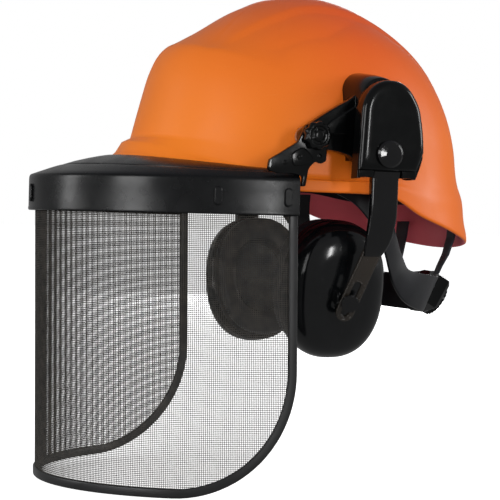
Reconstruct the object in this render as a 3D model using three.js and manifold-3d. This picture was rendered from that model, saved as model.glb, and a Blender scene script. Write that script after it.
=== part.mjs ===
// Hard hat with a mesh visor and a pair of ear muffs on sprung arms.
// Millimetres, +Z up, the front of the hat towards -Y, the wearer's left towards +X.
// The origin is the centre of the headband, at the height of the shell's lower edge over the ears.
import * as THREE from "three";
import Module from "manifold-3d";
import { mergeVertices } from "three/addons/utils/BufferGeometryUtils.js";

const wasm = await Module();
wasm.setup();

// Driving dimensions.
const GAP = 0.3;
const SHELL_WALL = 2.6;
const SHELL_STEPS_ROUND = 72;
const SHELL_STEPS_UP = 14;
const RIDGE_HEIGHT = 2;
const RIDGE_HALF_WIDTH = 46;
const REAR_POWER = 2.7;

const VISOR_HALF_WIDTH = 118.5;
const VISOR_DEPTH = 154;
const VISOR_END_Y = -44.5;
const VISOR_TOP = 7;
const VISOR_BOTTOM = -211;
const VISOR_SHEAR = 0.0213;
const VISOR_CORNER = 87;
const MESH_THICK = 0.5;
const TRIM_WIDE = 6.5;
const TRIM_THICK = 3;
const PIVOT_Y = -34.5;
const PIVOT_Z = 39.5;

const BAND_HALF_WIDTH = 76;
const BAND_HALF_LENGTH = 97;
const BAND_THICK = 2.2;

const CUP_HALF_WIDTH = 38;
const CUP_HALF_HEIGHT = 50;
const CUP_DEPTH = 33;
const CUP_WALL = 2.5;
const CUP_TILT = 11;
const CUP_CENTRE = [70, 0, -66];
const CUSHION_THICK = 16;

const WHEEL_RADIUS = 14.5;
const WHEEL_THICK = 6;
const NAPE_LEAN = 30;

const COLOURS = {
  shell: 0xe87a2c,
  dark: 0x1b1f27,
  glossy: 0x15181d,
  mesh: 0xb9b5aa,
  strap: 0x2a2d33,
  foam: 0x4a4c50,
  metal: 0x9a9da2,
};

const object = new THREE.Group();

// A ring with this many points or fewer is capped by its own outline, which may be hollowed.
const CAP_BY_OUTLINE = 12;

function outlineTriangles(ring) {
  const normal = new THREE.Vector3();
  ring.forEach((p, i) => {
    const q = ring[(i + 1) % ring.length];
    normal.x += (p[1] - q[1]) * (p[2] + q[2]);
    normal.y += (p[2] - q[2]) * (p[0] + q[0]);
    normal.z += (p[0] - q[0]) * (p[1] + q[1]);
  });
  const flat = new THREE.Quaternion().setFromUnitVectors(normal.normalize(), new THREE.Vector3(0, 0, 1));
  const outline = ring.map((p) => {
    const v = new THREE.Vector3(...p).applyQuaternion(flat);
    return new THREE.Vector2(v.x, v.y);
  });
  return THREE.ShapeUtils.triangulateShape(outline, []);
}

// One closed surface from a list of rings of points, each ring with the same count.
// closed: the last ring joins the first. Otherwise each end is capped at its middle.
function ringsToGeometry(rings, closed) {
  const count = rings[0].length;
  const points = [];
  const faces = [];
  for (const ring of rings) {
    for (const p of ring) {
      points.push(p[0], p[1], p[2]);
    }
  }
  const last = closed ? rings.length : rings.length - 1;
  for (let i = 0; i < last; i++) {
    const a = i * count;
    const b = ((i + 1) % rings.length) * count;
    for (let j = 0; j < count; j++) {
      const k = (j + 1) % count;
      faces.push(a + j, a + k, b + k);
      faces.push(a + j, b + k, b + j);
    }
  }
  if (!closed) {
    for (const [ring, flip] of [[0, true], [rings.length - 1, false]]) {
      if (count <= CAP_BY_OUTLINE) {
        for (const [a, b, c] of outlineTriangles(rings[ring])) {
          const o = ring * count;
          if (flip) faces.push(o + a, o + c, o + b);
          else faces.push(o + a, o + b, o + c);
        }
        continue;
      }
      const middle = [0, 0, 0];
      for (const p of rings[ring]) {
        for (let c = 0; c < 3; c++) {
          middle[c] += p[c] / count;
        }
      }
      const m = points.length / 3;
      points.push(...middle);
      for (let j = 0; j < count; j++) {
        const k = (j + 1) % count;
        const a = ring * count + j;
        const b = ring * count + k;
        if (flip) faces.push(m, b, a);
        else faces.push(m, a, b);
      }
    }
  }
  const g = new THREE.BufferGeometry();
  g.setAttribute("position", new THREE.Float32BufferAttribute(points, 3));
  g.setIndex(faces);
  if (signedVolume(g) < 0) flip(g);
  return g;
}

function signedVolume(g) {
  const p = g.getAttribute("position");
  const index = g.index;
  const a = new THREE.Vector3();
  const b = new THREE.Vector3();
  const c = new THREE.Vector3();
  let sum = 0;
  for (let i = 0; i < index.count; i += 3) {
    a.fromBufferAttribute(p, index.getX(i));
    b.fromBufferAttribute(p, index.getX(i + 1));
    c.fromBufferAttribute(p, index.getX(i + 2));
    sum += a.dot(b.cross(c)) / 6;
  }
  return sum;
}

function flip(g) {
  const array = g.index.array;
  for (let i = 0; i < array.length; i += 3) {
    const t = array[i + 1];
    array[i + 1] = array[i + 2];
    array[i + 2] = t;
  }
}

function toSolid(g) {
  const plain = g.clone();
  plain.deleteAttribute("normal");
  plain.deleteAttribute("uv");
  const merged = mergeVertices(plain, 1e-4);
  return new wasm.Manifold(
    new wasm.Mesh({
      numProp: 3,
      vertProperties: merged.getAttribute("position").array,
      triVerts: new Uint32Array(merged.index.array),
    }),
  );
}

function toGeometry(solid) {
  const m = solid.getMesh();
  const g = new THREE.BufferGeometry();
  const stride = m.numProp;
  const points = [];
  for (let i = 0; i < m.vertProperties.length; i += stride) {
    points.push(m.vertProperties[i], m.vertProperties[i + 1], m.vertProperties[i + 2]);
  }
  g.setAttribute("position", new THREE.Float32BufferAttribute(points, 3));
  g.setIndex([...m.triVerts]);
  return g;
}

function subtract(g, ...cutters) {
  let solid = toSolid(g);
  for (const cutter of cutters) {
    solid = solid.subtract(toSolid(cutter));
  }
  return toGeometry(solid);
}

function unite(g, ...others) {
  let solid = toSolid(g);
  for (const other of others) {
    solid = solid.add(toSolid(other));
  }
  return toGeometry(solid);
}

function mirrored(g) {
  const m = g.clone();
  m.applyMatrix4(new THREE.Matrix4().makeScale(-1, 1, 1));
  flip(m);
  return m;
}

function place(name, g, colour, roughness, metalness) {
  const shown = g.clone();
  shown.computeVertexNormals();
  const material = new THREE.MeshStandardMaterial({ color: colour, roughness, metalness });
  const mesh = new THREE.Mesh(shown, material);
  mesh.name = name;
  object.add(mesh);
  return mesh;
}

function placePair(name, g, colour, roughness, metalness) {
  place(name + "_left", g, colour, roughness, metalness);
  place(name + "_right", mirrored(g), colour, roughness, metalness);
}

// A prism along X from an outline in (y, z), with round holes [y, z, radius].
function prismX(outline, x0, x1, holes = []) {
  const shape = new THREE.Shape(outline.map(([y, z]) => new THREE.Vector2(y, z)));
  for (const [y, z, r] of holes) {
    const hole = new THREE.Path();
    hole.absarc(y, z, r, 0, 2 * Math.PI, true);
    shape.holes.push(hole);
  }
  const g = new THREE.ExtrudeGeometry(shape, { depth: x1 - x0, bevelEnabled: false, curveSegments: 12 });
  g.applyMatrix4(new THREE.Matrix4().set(0, 0, 1, x0, 1, 0, 0, 0, 0, 1, 0, 0, 0, 0, 0, 1));
  g.deleteAttribute("normal");
  g.deleteAttribute("uv");
  return mergeVertices(g, 1e-4);
}

function circle(y, z, r, from, to, steps) {
  const points = [];
  for (let i = 0; i <= steps; i++) {
    const a = THREE.MathUtils.degToRad(from + ((to - from) * i) / steps);
    points.push([y + r * Math.cos(a), z + r * Math.sin(a)]);
  }
  return points;
}

// A turned piece along an axis, from [radius, along] pairs that start and end on the axis.
function turned(profile, centre, axis, steps) {
  const points = profile.map(([r, h]) => new THREE.Vector2(r, h));
  const g = new THREE.LatheGeometry(points, steps);
  const turn = new THREE.Quaternion();
  turn.setFromUnitVectors(new THREE.Vector3(0, 1, 0), new THREE.Vector3(...axis).normalize());
  g.applyQuaternion(turn);
  g.translate(...centre);
  g.deleteAttribute("normal");
  g.deleteAttribute("uv");
  const merged = mergeVertices(g, 1e-4);
  const kept = [];
  const index = merged.index.array;
  for (let i = 0; i < index.length; i += 3) {
    const [a, b, c] = [index[i], index[i + 1], index[i + 2]];
    if (a !== b && b !== c && c !== a) kept.push(a, b, c);
  }
  merged.setIndex(kept);
  if (signedVolume(merged) < 0) flip(merged);
  return merged;
}

function lerp(a, b, t) {
  return a + (b - a) * t;
}

function between(table, x) {
  for (let i = 1; i < table.length; i++) {
    if (x <= table[i][0]) {
      const [x0, y0] = table[i - 1];
      const [x1, y1] = table[i];
      return lerp(y0, y1, (x - x0) / (x1 - x0));
    }
  }
  return table[table.length - 1][1];
}

function smooth(a, b, x) {
  const t = Math.min(1, Math.max(0, (x - a) / (b - a)));
  return t * t * (3 - 2 * t);
}

// Shell. Each profile runs from the crown to the lower edge as [distance out, height]:
// first the dome, down to the crease above the rim, then the rim itself.
const DOME_FRONT = [[0, 148], [28, 145], [47, 137.5], [73, 125], [89.5, 114.5], [102, 104], [111, 89.5], [119, 69], [127, 40]];
const DOME_SIDE = [[0, 148], [26, 145.5], [46, 138.5], [63, 127], [77, 112], [87, 94], [94.5, 73], [99.5, 51], [102, 30]];
const DOME_REAR = [[0, 148], [26, 141.5], [49, 130], [74, 114], [91, 99], [104, 81], [114, 58], [119.5, 34], [121.5, 9]];
const RIM_FRONT = [[134, 33], [141, 26], [147, 22], [152, 19.5], [156, 17.5]];
const RIM_SIDE = [[103, 10.6], [105.8, 9.4], [106.1, 7], [106.3, 4.5], [106.5, 2.5]];
const RIM_REAR = [[126, 3], [128, -4.5], [128, -21], [131.5, -28.5], [132, -36]];
// How far the rim has come from its side height to its rear height, against the sine round the plan.
const REAR_DROP = [[0, 0], [0.26, 0.01], [0.37, 0.08], [0.485, 0.36], [0.682, 0.6], [0.819, 0.79], [0.966, 0.96], [1, 1]];

function domeCurve(points) {
  return new THREE.SplineCurve(points.map(([r, z]) => new THREE.Vector2(r, z)));
}
const domeFront = domeCurve(DOME_FRONT);
const domeSide = domeCurve(DOME_SIDE);
const domeRear = domeCurve(DOME_REAR);

// How far out the plan reaches: an oval in front, squarer behind.
function planReach(c, s, side, end) {
  const n = s > 0 ? REAR_POWER : 2;
  return (Math.abs(c / side) ** n + Math.abs(s / end) ** n) ** (-1 / n);
}

// The shell's profile at one angle round the plan, as [x, y, z, distance out] from crown to edge.
function shellProfile(angle) {
  const c = Math.cos(angle);
  const s = Math.sin(angle);
  const rear = s > 0;
  const end = rear ? domeRear : domeFront;
  const rimEnd = rear ? RIM_REAR : RIM_FRONT;
  const profile = [];
  for (let i = 1; i <= SHELL_STEPS_UP; i++) {
    const t = i / SHELL_STEPS_UP;
    const a = domeSide.getPoint(t);
    const b = end.getPoint(t);
    const out = planReach(c, s, a.x, b.x);
    const z = lerp(a.y, b.y, s * s);
    const x = out * c;
    const ridge = smooth(RIDGE_HALF_WIDTH + 6, RIDGE_HALF_WIDTH, Math.abs(x)) * smooth(60, 95, z);
    profile.push([out, z + RIDGE_HEIGHT * ridge]);
  }
  const drop = rear ? between(REAR_DROP, s) : Math.abs(s) ** 3.2;
  for (let i = 0; i < RIM_SIDE.length; i++) {
    const out = planReach(c, s, RIM_SIDE[i][0], rimEnd[i][0]);
    profile.push([out, lerp(RIM_SIDE[i][1], rimEnd[i][1], drop)]);
  }
  return profile;
}

// Rings of the shell's surface moved outwards by a distance, in plan angle order.
function shellRings(offset) {
  const profiles = [];
  for (let j = 0; j < SHELL_STEPS_ROUND; j++) {
    const angle = (2 * Math.PI * j) / SHELL_STEPS_ROUND;
    const profile = shellProfile(angle);
    const moved = profile.map(([out, z], i) => {
      const before = profile[Math.max(0, i - 1)];
      const after = profile[Math.min(profile.length - 1, i + 1)];
      const dr = after[0] - before[0];
      const dz = after[1] - before[1];
      const length = Math.hypot(dr, dz);
      const o = out + (-dz / length) * offset;
      const h = z + (dr / length) * offset;
      return [o * Math.cos(angle), o * Math.sin(angle), h];
    });
    profiles.push(moved);
  }
  return profiles[0].map((_, i) => profiles.map((p) => p[i]));
}

const shellOuter = shellRings(0);
const shellInner = shellRings(-SHELL_WALL);
const shellGeometry = ringsToGeometry([...shellOuter, ...[...shellInner].reverse()], false);
place("shell", shellGeometry, COLOURS.shell, 0.35, 0);

// The shell's outside grown by the working gap and filled, to fit pieces against it.
const shellFill = ringsToGeometry(shellRings(GAP), false);

// A ring band round the head. Each angle gives its plan point, foot and top.
function bandPoint(angle, grow) {
  const c = Math.cos(angle);
  const s = Math.sin(angle);
  const n = 2.5;
  const a = BAND_HALF_WIDTH + grow;
  const b = BAND_HALF_LENGTH + grow;
  const r = (Math.abs(c / a) ** n + Math.abs(s / b) ** n) ** (-1 / n);
  return [r * c, r * s];
}
function bandFoot(angle) {
  const s = Math.sin(angle);
  return s < 0 ? lerp(4.5, -10, smooth(0.35, 0.9, -s)) : lerp(4.5, -4, smooth(0.5, 0.95, s));
}
function bandTop(angle) {
  return lerp(24, 26, Math.abs(Math.sin(angle)));
}
const headbandRings = [];
const HEADBAND_STEPS = 56;
for (let j = 0; j < HEADBAND_STEPS; j++) {
  const angle = (2 * Math.PI * j) / HEADBAND_STEPS;
  const inner = bandPoint(angle, 0);
  const outer = bandPoint(angle, BAND_THICK);
  const foot = bandFoot(angle);
  const top = bandTop(angle);
  headbandRings.push([[...inner, foot], [...outer, foot], [...outer, top], [...inner, top]]);
}
place("headband", ringsToGeometry(headbandRings, true), COLOURS.dark, 0.5, 0);

// Foam sweatband inside the front of the headband.
const SWEATBAND_THICK = 4.5;
const sweatRings = [];
for (let j = 0; j <= 24; j++) {
  const angle = THREE.MathUtils.degToRad(lerp(-160, -20, j / 24));
  const wall = bandPoint(angle, -GAP);
  const face = bandPoint(angle, -GAP - SWEATBAND_THICK);
  const near = bandPoint(angle, -GAP - SWEATBAND_THICK + 1.3);
  const foot = bandFoot(angle) + 1.5;
  const top = bandTop(angle) - 1.5;
  sweatRings.push([
    [...wall, foot],
    [...near, foot],
    [...face, foot + 2],
    [...face, top - 2],
    [...near, top],
    [...wall, top],
  ]);
}
place("sweatband", ringsToGeometry(sweatRings, false), COLOURS.foam, 0.95, 0);

// Crown straps: arcs from clip to clip, stacked where they cross over the head.
const STRAP_THICK = 1.2;
const STRAP_WIDE = 19;
function crownStrap(angle, reachA, reachB, level) {
  const stations = [];
  const steps = 24;
  const apex = 115 + level * (STRAP_THICK + 0.9);
  const foot = 32;
  const rings = [];
  for (let i = 0; i <= steps; i++) {
    const t = lerp(-90, 90, i / steps);
    const a = THREE.MathUtils.degToRad(t);
    const reach = t < 0 ? reachA : reachB;
    const out = Math.sign(Math.sin(a)) * Math.abs(Math.sin(a)) ** 0.85 * reach;
    const up = foot + (apex - foot) * Math.abs(Math.cos(a)) ** 0.8;
    stations.push([out, up]);
  }
  const c = Math.cos(angle);
  const s = Math.sin(angle);
  for (let i = 0; i <= steps; i++) {
    const before = stations[Math.max(0, i - 1)];
    const after = stations[Math.min(steps, i + 1)];
    const dr = after[0] - before[0];
    const dz = after[1] - before[1];
    const length = Math.hypot(dr, dz);
    const normal = [-dz / length, dr / length];
    const ring = [];
    for (const [side, lift] of [[-1, 0], [1, 0], [1, 1], [-1, 1]]) {
      const out = stations[i][0] + normal[0] * lift * STRAP_THICK;
      const z = stations[i][1] + normal[1] * lift * STRAP_THICK;
      const across = (side * STRAP_WIDE) / 2;
      ring.push([out * c - across * s, out * s + across * c, z]);
    }
    rings.push(ring);
  }
  return ringsToGeometry(rings, false);
}
const CORNER = THREE.MathUtils.degToRad(48);
const CORNER_REACH = 108;
const FRONT_REACH = 122;
const REAR_REACH = 116;
const OFF_CLIP = 6.5;
const toCorner = CORNER_REACH - OFF_CLIP;
place("crown_strap_1", crownStrap(CORNER, toCorner, toCorner, 0), COLOURS.strap, 0.9, 0);
place("crown_strap_2", crownStrap(Math.PI - CORNER, toCorner, toCorner, 1), COLOURS.strap, 0.9, 0);
place("crown_strap_3", crownStrap(Math.PI / 2, FRONT_REACH - OFF_CLIP, REAR_REACH - OFF_CLIP, 2), COLOURS.strap, 0.9, 0);

// Crown pad under the crossing, with a flat underside.
const PAD_RADIUS = 30;
const padProfile = [[0, 106], [PAD_RADIUS - 2, 106], [PAD_RADIUS, 108], [PAD_RADIUS, 109.5], [PAD_RADIUS - 4, 111.2], [0, 111.2]];
place("crown_pad", turned(padProfile, [0, 0, 0], [0, 1, 0], 32).rotateX(Math.PI / 2), COLOURS.foam, 0.95, 0);

// Harness clips: a foot on the shell's inner wall and an arm in to the headband.
function radialBlock(angle, r0, r1, half, z0, z1) {
  const g = new THREE.BoxGeometry(r1 - r0, 2 * half, z1 - z0);
  g.deleteAttribute("normal");
  g.deleteAttribute("uv");
  g.translate((r0 + r1) / 2, 0, (z0 + z1) / 2);
  g.rotateZ(angle);
  return mergeVertices(g, 1e-4);
}
const innerFill = ringsToGeometry(shellRings(-SHELL_WALL - GAP), false);
function bandFill() {
  const rings = [];
  for (const z of [-60, 60]) {
    const ring = [];
    for (let j = 0; j < HEADBAND_STEPS; j++) {
      const angle = (2 * Math.PI * j) / HEADBAND_STEPS;
      ring.push([...bandPoint(angle, BAND_THICK + GAP), z]);
    }
    rings.push(ring);
  }
  return ringsToGeometry(rings, false);
}
const headbandFill = bandFill();
function clip(angle, wall) {
  const arm = toSolid(radialBlock(angle, 60, wall, 7, 13, 20));
  const upright = toSolid(radialBlock(angle, wall - 4, wall + 12, 7, 13, 46));
  const inside = arm.add(upright).intersect(toSolid(innerFill));
  return toGeometry(inside.subtract(toSolid(headbandFill)));
}
placePair("clip_front", clip(-CORNER, CORNER_REACH), COLOURS.dark, 0.5, 0);
placePair("clip_rear", clip(CORNER, CORNER_REACH), COLOURS.dark, 0.5, 0);
place("clip_front_centre", clip(-Math.PI / 2, FRONT_REACH), COLOURS.dark, 0.5, 0);
place("clip_rear_centre", clip(Math.PI / 2, REAR_REACH), COLOURS.dark, 0.5, 0);

// Nape band: a leg down behind each ear that turns and runs round the back of the head.
// Each station is [lower or front edge y, z] and [upper or rear edge y, z] and the plan x of each.
const LEG = [
  [0, 2, 79, 48, 3, 73.3],
  [15, -5, 79.5, 48, -8, 75],
  [26, -15, 79.5, 49, -17, 76],
  [35, -27, 79, 51.5, -27, 76.5],
  [41.5, -40, 78.5, 54.5, -37, 76.5],
  [46, -54, 78, 59, -46, 75],
  [50, -64, 77, 63, -52.5, 74.5],
  [58, -74, 73.5, 72, -55, 70.5],
  [68, -80, 67.5, 82, -56.5, 64],
  [82, -84, 56, 94, -58, 53.5],
  [91.5, -85.5, 44, 104, -59, 42],
  [97.5, -86.5, 30, 111.5, -59.5, 29],
  [101.5, -87, 15, 116, -60, 14.5],
  [103, -87, 0, 117.5, -60, 0],
];
const NAPE_THICK = 2.4;
const napeStations = [...LEG];
for (let i = LEG.length - 2; i >= 0; i--) {
  const [y0, z0, x0, y1, z1, x1] = LEG[i];
  napeStations.push([y0, z0, -x0, y1, z1, -x1]);
}
const napeRings = napeStations.map(([y0, z0, x0, y1, z1, x1]) => {
  const middle = [(x0 + x1) / 2, (y0 + y1) / 2 - 25];
  const nx = middle[0] / 78 ** 2;
  const ny = middle[1] / 92 ** 2;
  const length = Math.hypot(nx, ny);
  const ox = (nx / length) * NAPE_THICK;
  const oy = (ny / length) * NAPE_THICK;
  return [[x0, y0, z0], [x0 + ox, y0 + oy, z0], [x1 + ox, y1 + oy, z1], [x1, y1, z1]];
});
place("nape_band", ringsToGeometry(napeRings, false), COLOURS.dark, 0.5, 0);

// The adjuster behind the nape, in a frame leaning back with the band: x across, y out, z up.
const napeFrame = new THREE.Matrix4().makeRotationX(THREE.MathUtils.degToRad(-NAPE_LEAN));
napeFrame.setPosition(0, 114.4, -71);
const HOUSING_HALF = 26;
const HOUSING_DEEP = 9;
function housingRing(along, grow) {
  const points = [];
  const half = HOUSING_HALF - grow;
  const corners = [[half, 12 - grow, 5], [10, 17 - grow, 12], [-10, 17 - grow, 12], [-half, 12 - grow, 5]];
  for (const [x, z] of corners) points.push([x, along, z]);
  for (const [x, z] of [...corners].reverse()) points.push([x, along, -z]);
  return points;
}
const housingBlock = ringsToGeometry([housingRing(-12, 0), housingRing(HOUSING_DEEP - 3, 0), housingRing(HOUSING_DEEP, 2.5)], false);
housingBlock.applyMatrix4(napeFrame);
const napeFillRings = napeStations.slice(7, -7).map(([y0, z0, x0, y1, z1, x1]) => {
  const middle = [(x0 + x1) / 2, (y0 + y1) / 2 - 25];
  const nx = middle[0] / 78 ** 2;
  const ny = middle[1] / 92 ** 2;
  const length = Math.hypot(nx, ny);
  const out = NAPE_THICK + 3 * GAP;
  const ox = (nx / length) * out;
  const oy = (ny / length) * out;
  const lean = (y1 - y0) / (z1 - z0);
  const slope = (x1 - x0) / (z1 - z0);
  const low = -25;
  const high = 25;
  return [
    [x0 * 0.4 + slope * low, y0 - 50 + lean * low, z0 + low],
    [x0 + ox + slope * low, y0 + oy + lean * low, z0 + low],
    [x1 + ox + slope * high, y1 + oy + lean * high, z1 + high],
    [x1 * 0.4 + slope * high, y1 - 50 + lean * high, z1 + high],
  ];
});
const napeFill = ringsToGeometry(napeFillRings, false);
const bore = turned([[0, -16], [6.3, -16], [6.3, 16], [0, 16]], [0, 0, 0], [0, 1, 0], 24);
bore.applyMatrix4(napeFrame);
const housing = subtract(housingBlock, napeFill, bore);
place("adjuster_housing", housing, COLOURS.dark, 0.45, 0);

// Knurled wheel, with its pinion reaching into the housing.
const wheelShape = new THREE.Shape();
const KNURLS = 24;
for (let i = 0; i < KNURLS * 2; i++) {
  const a = (Math.PI * i) / KNURLS;
  const r = WHEEL_RADIUS - (i % 2 ? 0.9 : 0);
  if (i === 0) wheelShape.moveTo(r * Math.cos(a), r * Math.sin(a));
  else wheelShape.lineTo(r * Math.cos(a), r * Math.sin(a));
}
const wheelHole = new THREE.Path();
wheelHole.absarc(0, 0, 3.3, 0, 2 * Math.PI, true);
wheelShape.holes.push(wheelHole);
const wheel = new THREE.ExtrudeGeometry(wheelShape, { depth: WHEEL_THICK, bevelEnabled: false, curveSegments: 12 });
wheel.rotateX(-Math.PI / 2);
wheel.translate(0, HOUSING_DEEP + 0.6, 0);
wheel.applyMatrix4(napeFrame);
place("adjuster_wheel", mergedPlain(wheel), COLOURS.dark, 0.5, 0);
const pinionProfile = [[0, 3.6], [5.7, 3.6], [5.7, 8.4], [3, 8.4], [3, HOUSING_DEEP + WHEEL_THICK + 0.2], [0, HOUSING_DEEP + WHEEL_THICK + 0.2]];
const pinion = turned(pinionProfile, [0, 0, 0], [0, 1, 0], 24);
pinion.applyMatrix4(napeFrame);
place("adjuster_pinion", pinion, COLOURS.metal, 0.4, 0.6);

function mergedPlain(g) {
  g.deleteAttribute("normal");
  g.deleteAttribute("uv");
  return mergeVertices(g, 1e-4);
}

// Nape straps: from under the rear edge of the shell down to the adjuster, narrowing.
const STRAP_PATH = [
  [42, 117.3, -17, 15],
  [42, 116, -29, 14],
  [40, 113, -42, 12],
  [36.5, 110, -51, 9.5],
  [34, 108.5, -57.5, 8],
];
const strapRings = STRAP_PATH.map(([x, y, z, wide]) => [
  [x - wide / 2, y + 0.06 * wide, z],
  [x + wide / 2, y - 0.06 * wide, z],
  [x + wide / 2, y - 0.06 * wide + 1.8, z],
  [x - wide / 2, y + 0.06 * wide + 1.8, z],
]);
placePair("nape_strap", ringsToGeometry(strapRings, false), COLOURS.dark, 0.55, 0);

// Visor surface: s runs round the arc from the wearer's left, z is height, n is out from the mesh.
const ARC_STEPS = 720;
const arc = [];
for (let i = 0, s = 0; i <= ARC_STEPS; i++) {
  const t = (Math.PI * i) / ARC_STEPS;
  const x = VISOR_HALF_WIDTH * Math.cos(t);
  const y = VISOR_END_Y - VISOR_DEPTH * Math.sin(t);
  if (i > 0) s += Math.hypot(x - arc[i - 1].x, y - arc[i - 1].y);
  const nx = Math.cos(t) / VISOR_HALF_WIDTH;
  const ny = -Math.sin(t) / VISOR_DEPTH;
  const length = Math.hypot(nx, ny);
  arc.push({ s, x, y, nx: nx / length, ny: ny / length });
}
const ARC_LENGTH = arc[ARC_STEPS].s;
function onArc(s) {
  let i = 0;
  while (i < ARC_STEPS - 1 && arc[i + 1].s < s) i++;
  const t = (s - arc[i].s) / (arc[i + 1].s - arc[i].s);
  const nx = lerp(arc[i].nx, arc[i + 1].nx, t);
  const ny = lerp(arc[i].ny, arc[i + 1].ny, t);
  return { x: lerp(arc[i].x, arc[i + 1].x, t), y: lerp(arc[i].y, arc[i + 1].y, t), nx, ny };
}
function visorPoint(s, z, n) {
  const p = onArc(s);
  const back = VISOR_SHEAR * (VISOR_TOP - z);
  return [p.x + p.nx * n, p.y + p.ny * n + back, z];
}
// Height of the visor's lower edge at s, moved in by an inset.
function visorFoot(s, inset) {
  const near = Math.min(s, ARC_LENGTH - s);
  const r = VISOR_CORNER - inset;
  if (near >= VISOR_CORNER) return VISOR_BOTTOM + inset;
  const across = VISOR_CORNER - near;
  return VISOR_BOTTOM + VISOR_CORNER - Math.sqrt(Math.max(0, r * r - across * across));
}

const MESH_INSET = TRIM_WIDE + GAP;
const meshRings = [];
const MESH_STEPS = 60;
for (let i = 0; i <= MESH_STEPS; i++) {
  const s = lerp(MESH_INSET, ARC_LENGTH - MESH_INSET, i / MESH_STEPS);
  const foot = visorFoot(s, MESH_INSET);
  const h = MESH_THICK / 2;
  meshRings.push([visorPoint(s, foot, -h), visorPoint(s, foot, h), visorPoint(s, VISOR_TOP, h), visorPoint(s, VISOR_TOP, -h)]);
}
place("visor_mesh", ringsToGeometry(meshRings, false), COLOURS.mesh, 0.5, 0.2);

// Trim strip down one side, round the corners and along the bottom.
const trimRings = [];
function trimRing(s, z, inS, inZ) {
  const h = TRIM_THICK / 2;
  const s1 = s + inS * TRIM_WIDE;
  const z1 = z + inZ * TRIM_WIDE;
  trimRings.push([visorPoint(s, z, -h), visorPoint(s, z, h), visorPoint(s1, z1, h), visorPoint(s1, z1, -h)]);
}
const TRIM_TOP = VISOR_TOP - 0.5;
const BOTTOM_STEPS = 26;
const CORNER_STEPS = 10;
const cornerZ = VISOR_BOTTOM + VISOR_CORNER;
trimRing(0, TRIM_TOP, 1, 0);
trimRing(0, -60, 1, 0);
for (let i = 0; i <= CORNER_STEPS; i++) {
  const a = (Math.PI / 2) * (i / CORNER_STEPS);
  const c = Math.cos(a);
  const s = Math.sin(a);
  trimRing(VISOR_CORNER * (1 - c), cornerZ - VISOR_CORNER * s, c, s);
}
for (let i = 1; i < BOTTOM_STEPS; i++) {
  trimRing(lerp(VISOR_CORNER, ARC_LENGTH - VISOR_CORNER, i / BOTTOM_STEPS), VISOR_BOTTOM, 0, 1);
}
for (let i = CORNER_STEPS; i >= 0; i--) {
  const a = (Math.PI / 2) * (i / CORNER_STEPS);
  const c = Math.cos(a);
  const s = Math.sin(a);
  trimRing(ARC_LENGTH - VISOR_CORNER * (1 - c), cornerZ - VISOR_CORNER * s, -c, s);
}
trimRing(ARC_LENGTH, -60, -1, 0);
trimRing(ARC_LENGTH, TRIM_TOP, -1, 0);
place("visor_trim", ringsToGeometry(trimRings, false), COLOURS.dark, 0.5, 0);

// Browguard: an upright strip outside the top of the visor, and a cover sloping in over the brim.
const STRIP_IN = 2.2;
const STRIP_OUT = 4.6;
const STRIP_FOOT = -16;
const STRIP_TOP = 9;
const COVER_HALF_WIDTH = 112;
const COVER_DEPTH = 104;
const browRings = [];
const BROW_STEPS = 48;
for (let i = 0; i <= BROW_STEPS; i++) {
  const t = (Math.PI * i) / BROW_STEPS;
  const c = Math.cos(t);
  const s = Math.sin(t);
  const x = VISOR_HALF_WIDTH * c;
  const y = VISOR_END_Y - VISOR_DEPTH * s;
  const length = Math.hypot(c / VISOR_HALF_WIDTH, s / VISOR_DEPTH);
  const nx = c / VISOR_HALF_WIDTH / length;
  const ny = -s / VISOR_DEPTH / length;
  const at = (n, z) => [x + nx * n, y + ny * n, z];
  const coverX = COVER_HALF_WIDTH * c;
  const coverY = VISOR_END_Y - COVER_DEPTH * s;
  const coverTop = lerp(16, 26, s ** 1.5);
  browRings.push([
    at(STRIP_IN, STRIP_FOOT),
    at(STRIP_OUT, STRIP_FOOT),
    at(STRIP_OUT, STRIP_TOP),
    at(STRIP_OUT - 1.2, STRIP_TOP + 1.2),
    [coverX, coverY, coverTop],
    [coverX, coverY, coverTop - 2.2],
    at(STRIP_IN - 0.6, STRIP_TOP - 0.6),
    at(STRIP_IN, STRIP_TOP - 1.4),
  ]);
}
place("browguard", ringsToGeometry(browRings, false), COLOURS.dark, 0.4, 0);

// Oblong snap studs on the strip, each at a distance round the arc.
const STUD_HALF_HIGH = 6.5;
const STUD_HALF_WIDE = 2.6;
const STUD_PROUD = 1.5;
function stud(s) {
  const p = onArc(s);
  const outline = [];
  for (let i = 0; i <= 8; i++) {
    const a = (Math.PI * i) / 8;
    outline.push([STUD_HALF_WIDE * Math.cos(a), STUD_HALF_HIGH - STUD_HALF_WIDE + STUD_HALF_WIDE * Math.sin(a)]);
  }
  for (let i = 0; i <= 8; i++) {
    const a = Math.PI + (Math.PI * i) / 8;
    outline.push([STUD_HALF_WIDE * Math.cos(a), -STUD_HALF_HIGH + STUD_HALF_WIDE + STUD_HALF_WIDE * Math.sin(a)]);
  }
  const n0 = STRIP_OUT + GAP;
  const middle = (STRIP_FOOT + STRIP_TOP) / 2;
  const ring = (n, k) => outline.map(([u, v]) => [p.x + p.nx * n - p.ny * u * k, p.y + p.ny * n + p.nx * u * k, middle + v * k]);
  return ringsToGeometry([ring(n0, 1), ring(n0 + STUD_PROUD - 0.5, 1), ring(n0 + STUD_PROUD, 0.85)], false);
}
const STUD_PLACES = [8.5, 56, ARC_LENGTH / 2, ARC_LENGTH - 56, ARC_LENGTH - 8.5];
STUD_PLACES.forEach((s, i) => place("visor_stud_" + (i + 1), stud(s), COLOURS.dark, 0.45, 0));

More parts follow.
